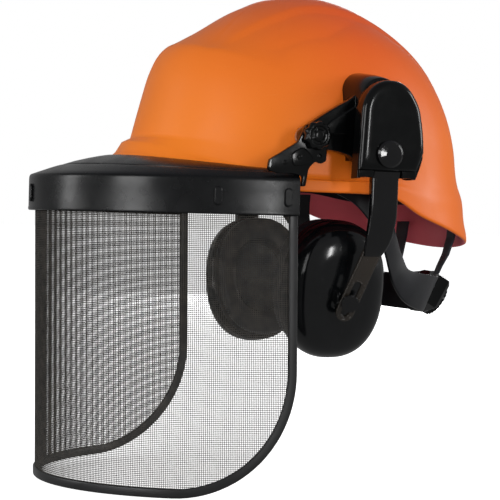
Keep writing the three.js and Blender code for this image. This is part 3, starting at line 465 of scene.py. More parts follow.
DOME_FRONT = [(0, 148), (28, 145), (47, 137.5), (73, 125), (91, 115.5), (105, 105.5), (113.2, 90.5),
              (119.5, 69), (127, 40)]
DOME_SIDE = [(0, 148), (26, 145.5), (46, 138.5), (63, 127), (77, 112), (87, 94), (94.5, 73), (99.5, 51), (102, 30)]
DOME_REAR = [(0, 148), (26, 141.5), (49, 130), (74, 114), (91, 99), (104, 81), (114, 58), (119.5, 34), (121.5, 9)]
RIM_FRONT = [(134.2, 36.8), (138.5, 29.5), (145, 23.5), (151.5, 19.9), (156, 17.5)]
RIM_SIDE = [(103, 10.6), (105.8, 9.4), (106.1, 7), (106.3, 4.5), (106.5, 2.5)]
RIM_REAR = [(126, 3), (128, -4.5), (128, -21), (131.5, -28.5), (132, -36)]
REAR_DROP = [(0, 0), (0.26, 0.01), (0.37, 0.08), (0.485, 0.36), (0.682, 0.6), (0.819, 0.79), (0.966, 0.96), (1, 1)]
SHELL_WALL = 2.6
CREASE = [(0, -101), (24, -98), (45.5, -89), (61.6, -75), (73.7, -61), (83, -45), (89.4, -29)]
VALLEY = [(68, -58), (72.5, -38), (73.5, -20), (72.6, -4.4), (60, 20), (40.6, 38.5)]


def nearest(line, x, y):
    """Signed distance to a plan line (inwards is positive) and the share along it."""
    line = np.asarray(line, float)
    best = np.full(x.shape, 1e9)
    side = np.zeros(x.shape)
    share = np.zeros(x.shape)
    for i in range(len(line) - 1):
        a, d = line[i], line[i + 1] - line[i]
        t = np.clip(((x - a[0]) * d[0] + (y - a[1]) * d[1]) / (d @ d), 0, 1)
        ex, ey = x - a[0] - t * d[0], y - a[1] - t * d[1]
        r = np.hypot(ex, ey)
        closer = r < best
        best = np.where(closer, r, best)
        side = np.where(closer, np.sign(d[0] * ey - d[1] * ex), side)
        share = np.where(closer, (i + t) / (len(line) - 1), share)
    return best * side, share


def build_shell(outside, inside):
    around, up, fine = 288, 64, 25
    angle = 2 * np.pi * np.arange(around) / around
    c, s = np.cos(angle)[:, None], np.sin(angle)[:, None]
    t = np.linspace(0, 1, up + 1)[1:]
    rear = s > 0

    def rim(dome, rows):
        line = np.array([dome[-1], *rows], float)
        t = np.linspace(0, len(rows), fine + 1)[1:]
        return np.stack([np.interp(t, np.arange(len(line)), line[:, k]) for k in (0, 1)], -1)

    side = np.vstack([spline(DOME_SIDE, t), rim(DOME_SIDE, RIM_SIDE)])
    front = np.vstack([spline(DOME_FRONT, t), rim(DOME_FRONT, RIM_FRONT)])
    back = np.vstack([spline(DOME_REAR, t), rim(DOME_REAR, RIM_REAR)])
    end = np.where(rear[..., None], back[None], front[None])
    power = np.where(rear, 2.7, 2.0)
    out = (np.abs(c / side[None, :, 0]) ** power + np.abs(s / end[..., 0]) ** power) ** (-1 / power)
    share = s * s * np.ones((1, side.shape[0]))
    drop = np.where(rear, np.interp(s, *zip(*REAR_DROP)), np.abs(s) ** 3.2)
    for _ in range(14):
        drop = (np.roll(drop, 1, 0) + 2 * drop + np.roll(drop, -1, 0)) / 4
    blend = smoothstep(up - 4, up + 3, np.arange(side.shape[0]))[None, :]
    share = share * (1 - blend) + drop * blend
    z = side[None, :, 1] + (end[..., 1] - side[None, :, 1]) * share
    x, y = out * c, out * s
    dome = 1 - smoothstep(up - 6, up - 1, np.arange(side.shape[0]))[None, :]
    half = 49 - 6 * smoothstep(10, 80, y)
    panel = smoothstep(half + 4.5, half - 0.5, np.abs(x)) * smoothstep(-84, -50, y) * smoothstep(48, 78, z)
    lift = 3.0 * panel
    far, along = nearest(CREASE, np.abs(x), y)
    step = np.clip(far, 0, 60) / 12
    fade = (0.35 + 0.65 * smoothstep(0.15, 0.4, along)) * smoothstep(1, 0.78, along)
    lift = lift - 3.4 * step * np.exp(1 - step) * fade * smoothstep(50, 75, z)
    far2, along2 = nearest(VALLEY, np.abs(x), y)
    lift = lift - 3.2 * np.exp(-np.abs(far2) / 7) * smoothstep(0, 0.2, along2) * smoothstep(1, 0.6, along2)
    z = z + lift * dome
    profile = np.stack([out, z], -1)
    soften = 0.5 * smoothstep(0.1, 0.55, s)[:, :, None]
    for _ in range(16):
        a, b = up - 6, profile.shape[1] - 3
        middle = (profile[:, a - 1:b - 1] + profile[:, a + 1:b + 1]) / 2
        profile[:, a:b] += (middle - profile[:, a:b]) * soften
    run = np.gradient(profile, axis=1)
    length = np.hypot(run[..., 0], run[..., 1])
    normal = np.stack([-run[..., 1] / length, run[..., 0] / length], -1)
    inner = profile - normal * SHELL_WALL
    lip = []
    n_end, p_end = normal[:, -1], profile[:, -1]
    down = np.stack([run[:, -1, 0] / length[:, -1], run[:, -1, 1] / length[:, -1]], -1)
    middle = p_end - n_end * SHELL_WALL / 2
    for k in (1, 2, 3):
        a = math.pi * k / 4
        lip.append(middle + n_end * SHELL_WALL / 2 * math.cos(a) + down * SHELL_WALL / 2 * math.sin(a))
    rows = [profile[:, i] for i in range(profile.shape[1])] + lip
    rows += [inner[:, i] for i in range(profile.shape[1] - 1, -1, -1)]
    points, count = [], around
    for row in rows:
        points += list(zip(row[:, 0] * c[:, 0], row[:, 0] * s[:, 0], row[:, 1]))
    faces = lattice(len(rows), count)
    picks = [0 if i < profile.shape[1] + 1 else 1 for i in range(len(rows) - 1) for _ in range(count)]
    for row, pick in ((0, 0), (len(rows) - 1, 1)):
        points.append((0, 0, float(np.mean([p[2] for p in points[row * count:(row + 1) * count]])) + 0.05))
        hub = len(points) - 1
        faces += [(hub, row * count + j, row * count + (j + 1) % count) for j in range(count)]
        picks += [pick] * count
    return piece("shell_skin", points, faces, "helmet", [outside, inside], ("shell",), picks=picks)


# ---------------------------------------------------------------- visor

HALF_WIDTH, DEPTH, END_Y, TOP, BOTTOM, SHEAR, CORNER = 118.5, 154, -44.5, 7, -211, 0.0213, 87
TRIM_WIDE = 6.5
_t = np.linspace(0, np.pi, 721)
_ax, _ay = HALF_WIDTH * np.cos(_t), END_Y - DEPTH * np.sin(_t)
_as = np.concatenate([[0], np.cumsum(np.hypot(np.diff(_ax), np.diff(_ay)))])
ARC = float(_as[-1])
_nx, _ny = np.cos(_t) / HALF_WIDTH, -np.sin(_t) / DEPTH
_nl = np.hypot(_nx, _ny)


def visor_point(s, z, n):
    s, z, n = np.broadcast_arrays(np.asarray(s, float), np.asarray(z, float), np.asarray(n, float))
    x, y = np.interp(s, _as, _ax), np.interp(s, _as, _ay)
    nx, ny = np.interp(s, _as, _nx / _nl), np.interp(s, _as, _ny / _nl)
    return np.stack([x + nx * n, y + ny * n + SHEAR * (TOP - z), z], -1)


def visor_foot(s, inset):
    near = np.minimum(s, ARC - s)
    r = CORNER - inset
    across = np.maximum(CORNER - near, 0)
    curve = BOTTOM + CORNER - np.sqrt(np.maximum(0, r * r - across * across))
    return np.where(near >= CORNER, BOTTOM + inset, curve)


def build_wires(metal):
    """Wire mesh: upright and level three-sided wires that cross in one surface."""
    pitch, radius = 1.3, 0.245
    inset = TRIM_WIDE - 0.6
    points, faces = [], []
    corners = [2 * math.pi * k / 3 + 0.5 for k in range(3)]
    count = int((ARC - 2 * inset) / pitch)
    for s in inset + (np.arange(count) + 0.5) * (ARC - 2 * inset) / count:
        foot = float(visor_foot(s, inset))
        first = len(points)
        for z in (foot, TOP):
            for a in corners:
                points.append(visor_point(s + radius * math.cos(a), z, radius * math.sin(a)))
        faces += [(first + k, first + (k + 1) % 3, first + 3 + (k + 1) % 3, first + 3 + k) for k in range(3)]
        faces += [(first, first + 1, first + 2), (first + 5, first + 4, first + 3)]
    grid = np.linspace(inset, ARC - inset, 600)
    feet = visor_foot(grid, inset)
    z = TOP - pitch / 2
    while z > BOTTOM + inset + 0.3:
        inside = grid[feet < z]
        a, b = inside[0], inside[-1]
        steps = max(8, int(88 * (b - a) / ARC))
        s = np.linspace(a, b, steps)
        first = len(points)
        ring = [visor_point(s, z + radius * math.cos(k), radius * math.sin(k)) for k in corners]
        for i in range(steps):
            points += [ring[0][i], ring[1][i], ring[2][i]]
        faces += lattice(steps, 3, start=first)
        faces += [(first + 2, first + 1, first), (first + steps * 3 - 3, first + steps * 3 - 2, first + steps * 3 - 1)]
        z -= pitch
    return piece("visor_wires", points, faces, "visor", [metal], ("visor_mesh",), smooth=False)


def rounded_box(w0, w1, h0, h1, r, steps=3):
    """Outline of a rounded oblong in (w, h)."""
    points = []
    for cx, cy, start in ((w1 - r, h1 - r, 0), (w0 + r, h1 - r, 90), (w0 + r, h0 + r, 180), (w1 - r, h0 + r, 270)):
        for k in range(steps + 1):
            a = math.radians(start + 90 * k / steps)
            points.append((cx + r * math.cos(a), cy + r * math.sin(a)))
    return points


def build_trim(plastic):
    section = rounded_box(0, TRIM_WIDE, -1.5, 1.5, 0.9)
    path = [(0, z, 1, 0) for z in np.linspace(TOP - 0.5, BOTTOM + CORNER, 22)[:-1]]
    for a in np.linspace(0, math.pi / 2, 25):
        path.append((CORNER * (1 - math.cos(a)), BOTTOM + CORNER - CORNER * math.sin(a), math.cos(a), math.sin(a)))
    path += [(s, BOTTOM, 0, 1) for s in np.linspace(CORNER, ARC - CORNER, 72)[1:-1]]
    for a in np.linspace(math.pi / 2, 0, 25):
        z = BOTTOM + CORNER - CORNER * math.sin(a)
        path.append((ARC - CORNER * (1 - math.cos(a)), z, -math.cos(a), math.sin(a)))
    path += [(ARC, z, -1, 0) for z in np.linspace(BOTTOM + CORNER, TOP - 0.5, 22)[1:]]
    rings = [[visor_point(s + a * w, z + b * w, h) for w, h in section] for s, z, a, b in path]
    return sweep("trim_binding", rings, "visor", [plastic], ("visor_trim",))


def build_browguard(plastic):
    steps = 180
    rings = []
    for t in np.linspace(0, np.pi, steps + 1):
        c, s = math.cos(t), math.sin(t)
        x, y = HALF_WIDTH * c, END_Y - DEPTH * s
        length = math.hypot(c / HALF_WIDTH, s / DEPTH)
        nx, ny = c / HALF_WIDTH / length, -s / DEPTH / length

        def at(n, z):
            return np.array([x + nx * n, y + ny * n, z])
        top = 16 + 10 * s**1.5
        edge = np.array([112 * c, END_Y - 104 * s, top])
        shoulder = at(3.4, 10.2)
        outer = [at(2.2, -15.4), at(2.6, -16), at(4.1, -16), at(4.7, -15.5), at(4.85, -14.2)]
        outer += [at(4.6, -13.2), at(4.6, 0)]
        outer += [at(4.6, 6.6), at(4.5, 8.2), at(4.0, 9.6)]
        deep = 0.9 * smoothstep(0.02, 0.16, t / np.pi) * smoothstep(0.98, 0.84, t / np.pi)
        cover = ((0.0, 0), (0.12, -0.5), (0.26, -1.0), (0.36, -1.2), (0.40, -1.15), (0.415, deep), (0.445, deep),
                 (0.46, -1.1), (0.6, -1.3), (0.78, -0.9), (0.92, -0.3))
        for w, sink in cover:
            outer.append(shoulder + (edge - shoulder) * w - np.array([0, 0, sink]))
        outer += [edge + np.array([0, 0, -0.2]), edge + np.array([0, 0, -1.1]), edge + np.array([0, 0, -2.0])]
        under = [edge + (shoulder - edge) * w - np.array([0, 0, 2.3]) for w in (0.06, 0.3, 0.6, 0.88)]
        rings.append(outer + under + [at(2.0, 7.6), at(2.2, 6.2), at(2.2, -8)])
    o = sweep("browguard_skin", rings, "visor", [plastic], ("browguard",))
    crease(o, 40)
    return o


# ---------------------------------------------------------------- ear cups

CUP_TILT = math.radians(11)
CUP_CENTRE = np.array([70.0, 0, -66])
_out = np.array([math.cos(CUP_TILT), 0, -math.sin(CUP_TILT)])
_up = np.array([math.sin(CUP_TILT), 0, math.cos(CUP_TILT)])
_across = np.cross(_up, _out)


def cup_point(x, y, z, sign=1):
    p = CUP_CENTRE + np.multiply.outer(x, _across) + np.multiply.outer(y, _up) + np.multiply.outer(z, _out)
    return p * np.array([sign, 1, 1])


def cup_ring(scale, inset, z, sign, count=96, power=2.35):
    a = 2 * np.pi * np.arange(count) / count
    c, s = np.cos(a), np.sin(a)
    x = np.sign(c) * np.abs(c) ** (2 / power) * (38 * scale - inset)
    y = np.sign(s) * np.abs(s) ** (2 / power) * (50 * scale - inset)
    return cup_point(x, y, np.full(count, float(z)), sign)


CUP_OUTSIDE = [(0.97, 0), (1, 4), (1, 11), (0.985, 17), (0.93, 23), (0.82, 28), (0.62, 31.5), (0.35, 33)]


def build_cup(side, sign, glossy):
    profile = spline(CUP_OUTSIDE, np.linspace(0, 1, 43))
    outer = [(k, 0, z) for k, z in profile]
    grooved = []
    for k, inset, z in outer:
        dip = 0.7 * math.exp(-(((z - 8) / 0.9) ** 2)) + 0.45 * math.exp(-(((z - 1.2) / 0.8) ** 2))
        grooved.append((k, inset + dip, z))
    rows = [(0.12, 0, 33.35), (0.24, 0, 33.2)] + grooved[::-1]
    rows += [(0.965, 1.0, -0.1), (0.965, 2.0, 0)]
    rows += [(k, 2.5, 0 if z == 0 else z - 2.5 * z / 33) for k, z in spline(CUP_OUTSIDE, np.linspace(0.03, 1, 22))]
    rings = [cup_ring(k, inset, z, sign) for k, inset, z in rows]
    o = sweep("cup_skin_" + side, rings, "muff_" + side, [glossy], ("cup_shell_" + side,))
    ears = []
    for x0, x1 in ((-7.4, -5.2), (5.2, 7.4)):
        arch = [(4.6 * math.cos(a), 34.6 + 4.0 * math.sin(a)) for a in np.linspace(0, math.pi, 13)]
        outline = [(-6.5, 31.2), (6.5, 31.2)] + arch
        ring0 = [cup_point(np.array([x0]), np.array([y]), np.array([z]), sign)[0] for y, z in outline]
        ring1 = [cup_point(np.array([x1]), np.array([y]), np.array([z]), sign)[0] for y, z in outline]
        ears.append((ring0, ring1))
    points, faces = [], []
    for ring0, ring1 in ears:
        first, n = len(points), len(ring0)
        points += list(ring0) + list(ring1)
        faces += lattice(2, n, start=first)
        faces += [tuple(range(first, first + n))[::-1], tuple(range(first + n, first + 2 * n))]
    e = piece("cup_ears_" + side, points, faces, "muff_" + side, [glossy], smooth=False)
    bevel(e, 0.5, 2, 40)
    return o


# ---------------------------------------------------------------- soft pieces


def copy_node(name, new):
    o = NODES[name].copy()
    o.data = NODES[name].data.copy()
    o.name = new
    o.data.name = new
    for key in list(o.keys()):
        del o[key]
    bpy.context.scene.collection.objects.link(o)
    o.hide_render = False
    return o


def bake(o):
    graph = bpy.context.evaluated_depsgraph_get()
    mesh = bpy.data.meshes.new_from_object(o.evaluated_get(graph))
    old = o.data
    o.modifiers.clear()
    o.data = mesh
    mesh.name = o.name
    bpy.data.meshes.remove(old)


def swell(o, voxel, pressure, cap, frames=16, shrink=0.0):
    """Remesh, blow up a little with the cloth solver, hold every point within cap."""
    m = o.modifiers.new("weld", "WELD")
    m.merge_threshold = 1e-5
    m = o.modifiers.new("remesh", "REMESH")
    m.mode = "VOXEL"
    m.voxel_size = voxel * MM
    bake(o)
    o.data.materials.clear()
    count = len(o.data.vertices)
    before = np.empty(count * 3)
    o.data.vertices.foreach_get("co", before)
    before = before.reshape(-1, 3)
    if shrink:
        normals = np.empty(count * 3)
        o.data.vertices.foreach_get("normal", normals)
        before = before - normals.reshape(-1, 3) * shrink * MM
        o.data.vertices.foreach_set("co", before.ravel())
        o.data.update()
    cloth = o.modifiers.new("cloth", "CLOTH")
    cloth.settings.quality = 5
    cloth.settings.mass = 0.2
    cloth.settings.tension_stiffness = 12
    cloth.settings.compression_stiffness = 12
    cloth.settings.bending_stiffness = 0.6
    cloth.settings.use_pressure = True
    cloth.settings.uniform_pressure_force = pressure
    cloth.settings.effector_weights.gravity = 0
    cloth.point_cache.frame_start = 1
    cloth.point_cache.frame_end = frames
    scene = bpy.context.scene
    for f in range(1, frames + 1):
        scene.frame_set(f)
        bpy.context.view_layer.update()
    graph = bpy.context.evaluated_depsgraph_get()
    grown = o.evaluated_get(graph)
    after = np.empty(count * 3)
    grown.data.vertices.foreach_get("co", after)
    after = after.reshape(-1, 3)
    o.modifiers.clear()
    scene.frame_set(1)
    move = after - before
    size = np.linalg.norm(move, axis=1)
    scale = np.minimum(1, cap * MM / np.maximum(size, 1e-9))
    move[~np.isfinite(size)] = 0
    o.data.vertices.foreach_set("co", (before + move * scale[:, None]).ravel())
    o.data.update()
    o.data.polygons.foreach_set("use_smooth", np.ones(len(o.data.polygons), bool))


def finish_soft(o, body, material, node):
    o.data.materials.clear()
    o.data.materials.append(material)
    sub = o.modifiers.new("smooth", "SUBSURF")
    sub.levels = sub.render_levels = 1
    bake(o)
    o.data.polygons.foreach_set("use_smooth", np.ones(len(o.data.polygons), bool))
    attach(o, body)
    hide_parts(node)


def mirror_copy(o, name):
    twin = o.copy()
    twin.data = o.data.copy()
    twin.name = name
    twin.data.name = name
    bpy.context.scene.collection.objects.link(twin)
    twin.data.transform(Matrix.Scale(-1, 4, (1, 0, 0)))
    twin.data.flip_normals()
    return twin


def local_cup(o):
    count = len(o.data.vertices)
    co = np.empty(count * 3)
    o.data.vertices.foreach_get("co", co)
    q = co.reshape(-1, 3) / MM - CUP_CENTRE
    return q, np.stack([q @ _across, q @ _up, q @ _out], -1)


def build_soft(vinyl, foam, terry, pad_foam):
    cushion = copy_node("ear_cushion_left", "cushion_left")
    swell(cushion, 3.0, 4.0, 1.6, shrink=0.9)
    q, local = local_cup(cushion)
    angle = np.arctan2(local[:, 1] / 50, local[:, 0] / 38)
    reach = np.hypot(local[:, 0] / 38, local[:, 1] / 50)
    depth = np.clip((-3.3 - local[:, 2]) / 16, 0, 1)
    pucker = 0.16 * np.sin(angle * 46) + 0.1 * np.sin(angle * 29 + 1.3)
    near_seam = np.exp(-(((depth - 0.18) / 0.16) ** 2)) * smoothstep(0.8, 0.95, reach)
    inward = -0.55 * np.exp(-(((depth - 0.18) / 0.05) ** 2)) * smoothstep(0.8, 0.95, reach)
    radial = np.outer(local[:, 0], _across) + np.outer(local[:, 1], _up)
    radial /= np.maximum(np.linalg.norm(radial, axis=1), 1e-6)[:, None]
    moved = q + CUP_CENTRE + radial * (pucker * near_seam + inward)[:, None]
    cushion.data.vertices.foreach_set("co", (moved * MM).ravel())
    twin = mirror_copy(cushion, "cushion_right")
    finish_soft(cushion, "muff_left", vinyl, "ear_cushion_left")
    finish_soft(twin, "muff_right", vinyl, "ear_cushion_right")
    liner = copy_node("cup_foam_left", "foam_left")
    swell(liner, 2.6, 3.0, 0.8, shrink=0.5)
    twin = mirror_copy(liner, "foam_right")
    finish_soft(liner, "muff_left", foam, "cup_foam_left")
    finish_soft(twin, "muff_right", foam, "cup_foam_right")
    pad = copy_node("crown_pad", "pad_crown")
    swell(pad, 1.8, 4.0, 0.9, shrink=0.6)
    finish_soft(pad, "helmet", pad_foam, "crown_pad")
    band = copy_node("sweatband", "sweatband_soft")
    swell(band, 1.7, 4.0, 1.1, shrink=0.5)
    finish_soft(band, "helmet", terry, "sweatband")


# ---------------------------------------------------------------- small fittings


def wear(names, material):
    """Keep CAD nodes as they are, with a finished material."""
    for name in names:
        o = NODES[name]
        for s in o.material_slots:
            s.material = material


def both(*names):
    return [n + side for n in names for side in ("_left", "_right")]


def gather(name, parts, body, materials, replaces=()):
    """One piece from several meshes in metres, each already shaped."""
    b = bmesh.new()
    for o in parts:
        graph = bpy.context.evaluated_depsgraph_get()
        mesh = bpy.data.meshes.new_from_object(o.evaluated_get(graph))
        b.from_mesh(mesh)
        bpy.data.meshes.remove(mesh)
    for o in parts:
        old = o.data
        bpy.data.objects.remove(o)
        bpy.data.meshes.remove(old)
    mesh = bpy.data.meshes.new(name)
    b.to_mesh(mesh)
    b.free()
    for m in materials:
        mesh.materials.append(m)
    o = bpy.data.objects.new(name, mesh)
    bpy.context.scene.collection.objects.link(o)
    mesh.polygons.foreach_set("use_smooth", np.ones(len(mesh.polygons), bool))
    crease(o, 42)
    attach(o, body)
    if replaces:
        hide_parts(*replaces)
    return o


def raw(points, faces, round_by=0.0, segments=3, angle=35):
    mesh = bpy.data.meshes.new("raw")
    mesh.from_pydata([tuple(v) for v in np.asarray(points, float) * MM], [], [tuple(int(i) for i in f) for f in faces])
    o = bpy.data.objects.new("raw", mesh)
    bpy.context.scene.collection.objects.link(o)
    clean(o)
    if round_by:
        bevel(o, round_by, segments, angle)
    return o


def raw_sweep(rings, closed=False, **values):
    rings = np.asarray(rings, float)
    rows, columns = rings.shape[:2]
    faces = lattice(rows, columns, closed)
    if not closed:
        faces += [tuple(range(columns))[::-1], tuple(range((rows - 1) * columns, rows * columns))]
    return raw(rings.reshape(-1, 3), faces, **values)


def slab(outline, x0, x1, sign=1, **values):
    """A plate between x0 and x1 with an outline in (y, z)."""
    rings = [[(sign * x, y, z) for y, z in outline] for x in (x0, x1)]
    return raw_sweep(rings, **values)


def eased(points, steps=5):
    """A closed outline through control points, rounded between them."""
    p = np.asarray(points, float)
    n = len(p)
    out = []
    for i in range(n):
        p0, p1, p2, p3 = p[i - 1], p[i], p[(i + 1) % n], p[(i + 2) % n]
        for k in range(steps):
            t = k / steps
            v0, v1 = (p2 - p0) * 0.35, (p3 - p1) * 0.35
            cubic, square = 2 * p1 - 2 * p2 + v0 + v1, -3 * p1 + 3 * p2 - 2 * v0 - v1
            out.append(tuple(cubic * t**3 + square * t**2 + v0 * t + p1))
    return out


def hood(y0, y1, z0, z1, corner, taper=0.0, bulge=0.0, steps=12):
    """Outline of a rounded hood, from one foot over the top to the other."""
    r = min((y1 - y0) / 2, corner)
    a = np.linspace(0, np.pi / 2, steps + 1)
    left = [(y0 + r - r * math.cos(k), z1 - r + r * math.sin(k)) for k in a]
    right = [(y1 - r + r * math.sin(k), z1 - r + r * math.cos(k)) for k in a]
    foot = [z0 + (z1 - r - z0) * k / 6 for k in range(6)]
    points = [(y0, z) for z in foot] + left + right + [(y1, z) for z in foot[::-1]]
    middle = y0 + (y1 - y0) * 0.46
    shaped = []
    for y, z in points:
        share = (z - z0) / (z1 - z0)
        swell_out = math.sin(math.pi * min(1, 0.18 + share)) - 1.5 * max(0, 1 - share / 0.2)
        y = middle + (y - middle) * (1 - taper * share) + (bulge * swell_out if y > middle else 0)
        shaped.append((y, z))
    return shaped


PIVOT_Y, PIVOT_Z = -34.5, 39.5
MOUNT_TAPER, MOUNT_BULGE = 0.15, 3.2
FACE_OVER_FOOT = 5.4  # the mount's face starts this much higher, clear of the arm when it swings out


def build_mount(side, sign, plastic, shell):
    tree = BVHTree.FromObject(shell, bpy.context.evaluated_depsgraph_get())
    wall = 2.4

    def loop(x, y0, y1, z0, z1, corner, taper=0.0, foot=None):
        bulge = MOUNT_BULGE if taper else 0
        outer = hood(y0, y1, z0, z1, corner, taper, bulge)
        inner = hood(y0 + wall, y1 - wall, z0, z1 - wall, corner - wall / 2, taper, bulge)
        ring = []
        for y, z in outer + inner[::-1]:
            at = x
            if foot is not None:
                hit = tree.ray_cast(Vector((0.2, y * MM, z * MM)), Vector((-1, 0, 0)))[0]
                at = (hit[0] / MM if hit else x) + foot
            ring.append((sign * at, y, z))
        return ring
    base = (-1.9, 28.5, 24, 88, 15)
    rings = [
        loop(90, *base, foot=0.25),
        loop(90, *base, foot=1.2),
        loop(112, -1.8, 28.4, 24, 85, 14.9),
        loop(125.6, -1.6, 28.2, 24, 82.2, 14.8),
        loop(126.8, -1.2, 27.8, 24, 81.6, 14.6),
        loop(127.1, -0.6, 27.2, 24, 80.6, 14.2),
        loop(127.3, -6.0, 34.4, 12.6, 77, 20.4, MOUNT_TAPER),
        loop(127.7, -8.2, 36.8, 11.4, 79, 22.4, MOUNT_TAPER),
        loop(128.6, -9.2, 38.2, 11, 79.9, 23.6, MOUNT_TAPER),
        loop(133, -9.4, 38.6, 11, 79.7, 23.8, MOUNT_TAPER),
        loop(138.5, -9.2, 38.3, 11.2, 78.9, 23.4, MOUNT_TAPER),
    ]
    parts = [raw_sweep(rings)]
    face = []
    for x, grow in ((138.2, 0), (139.6, 0.1), (141.0, 0.9), (142.0, 2.1), (142.6, 3.6), (142.9, 5.6), (143, 8)):
        outline = hood(-9.2 + grow, 38.3 - grow, 11.2 + grow + FACE_OVER_FOOT, 78.9 - grow, 22 - grow,
                       MOUNT_TAPER, MOUNT_BULGE)
        face.append([(sign * x, y, z) for y, z in outline])
    parts.append(raw_sweep(face))
    horn = [(3, 69.5), (-8, 65), (-19, 58.8), (-29, 52.5), (-36.5, 47.6), (-41.6, 43), (-42.4, 38.5), (-40, 34),
            (-35, 31.6), (-29, 31), (-21, 30.6), (-13, 29.6), (-5, 27.4), (3, 24.5)]
    parts.append(slab(eased(horn), 107.6, 116.4, sign, round_by=1.6))
    rib = [(1, 62), (-9, 57.5), (-20, 51), (-24, 46), (-22, 42), (-12, 42), (1, 43)]
    parts.append(slab(eased(rib), 115.4, 118, sign, round_by=0.9))
    for y0, y1 in ((-7.4, 3.3), (25, 35.6)):
        parts.append(slab([(y0, 12), (y1, 12), (y1, 26), (y0, 26)], 128.4, 139, sign, round_by=0.8))
    return gather("mount_skin_" + side, parts, "helmet", [plastic], ("ear_mount_" + side,))


def build_brow_arm(side, sign, plastic):
    neck = [(-43.6, 5), (-40.8, 5), (-39.9, 10), (-38.4, 17), (-34, 21.4), (-29.5, 20.6), (-26, 22.6), (-25.6, 27),
            (-25.3, 34), (-24.8, 39.5), (-27.6, 46.4), (-34.5, 49.3), (-41.4, 46.4), (-44.4, 40.4), (-47.4, 35),
            (-54, 30.6), (-61, 26.2), (-67.5, 22), (-68, 15), (-60, 13), (-50, 13), (-43.2, 11)]
    parts = [slab(eased(neck), 119.9, 123.5, sign, round_by=1.1)]
    boss = [(-40, 20), (-36.5, 24.5), (-43.5, 31), (-52, 26), (-50, 18.5)]
    parts.append(slab(eased(boss), 122.6, 124.9, sign, round_by=0.8))
    for y, z, r in ((-46.5, 24.5, 2.2), (-31, 25.6, 1.7), (-56.5, 20.5, 1.6)):
        dome = []
        for k in range(5):
            a = math.pi / 2 * k / 4
            q, h = max(r * math.cos(a), 0.06), 1.3 * math.sin(a)
            x = sign * (124.2 + h if y == -46.5 else 123.2 + h)
            around = [j * math.pi / 10 for j in range(20)]
            dome.append([(x, y + q * math.cos(a), z + q * math.sin(a)) for a in around])
        parts.append(raw_sweep(dome))
    return gather("brow_arm_skin_" + side, parts, "visor", [plastic], ("brow_arm_" + side,))


def build_knob(side, sign, plastic):
    def ring(x, r, lobe=0.0):
        points = []
        for a in np.linspace(0, 2 * math.pi, 109)[:-1]:
            reach = r + lobe * math.cos(9 * a)
            points.append((sign * x, PIVOT_Y + reach * math.cos(a), PIVOT_Z + reach * math.sin(a)))
        return points
    rows = [(123.9, 4.6, 0), (123.9, 8.4, 0.1), (124.4, 9.3, 0.5), (126, 9.6, 0.6), (128.6, 9.5, 0.6), (130, 8.9, 0.4),
            (130.7, 7.9, 0.15), (130.9, 7.0, 0), (130.7, 6.5, 0), (129.7, 6.2, 0), (129.5, 5.6, 0), (129.6, 4.4, 0),
            (130.3, 3.9, 0), (130.8, 3.2, 0), (131, 1.6, 0), (131, 0.4, 0)]
    parts = [raw_sweep([ring(*row) for row in rows])]
    for turn in (0.4, 0.4 + math.pi / 2):
        c, s = math.cos(turn), math.sin(turn)
        bar = [(-6.2, -0.7), (6.2, -0.7), (6.2, 0.7), (-6.2, 0.7)]
        outline = [(PIVOT_Y + u * c - v * s, PIVOT_Z + u * s + v * c) for u, v in bar]
        parts.append(slab(outline, 129.2, 130.6, sign, round_by=0.35))
    return gather("knob_skin_" + side, parts, "knob_" + side, [plastic], ("visor_knob_" + side,))


BLADE_TOP = np.array([132.5, 14.0, -24.0])
BLADE_END = np.array([112.0, -3.7, -82.5])
STUD = np.array([107.302, 0.0, -73.2507])


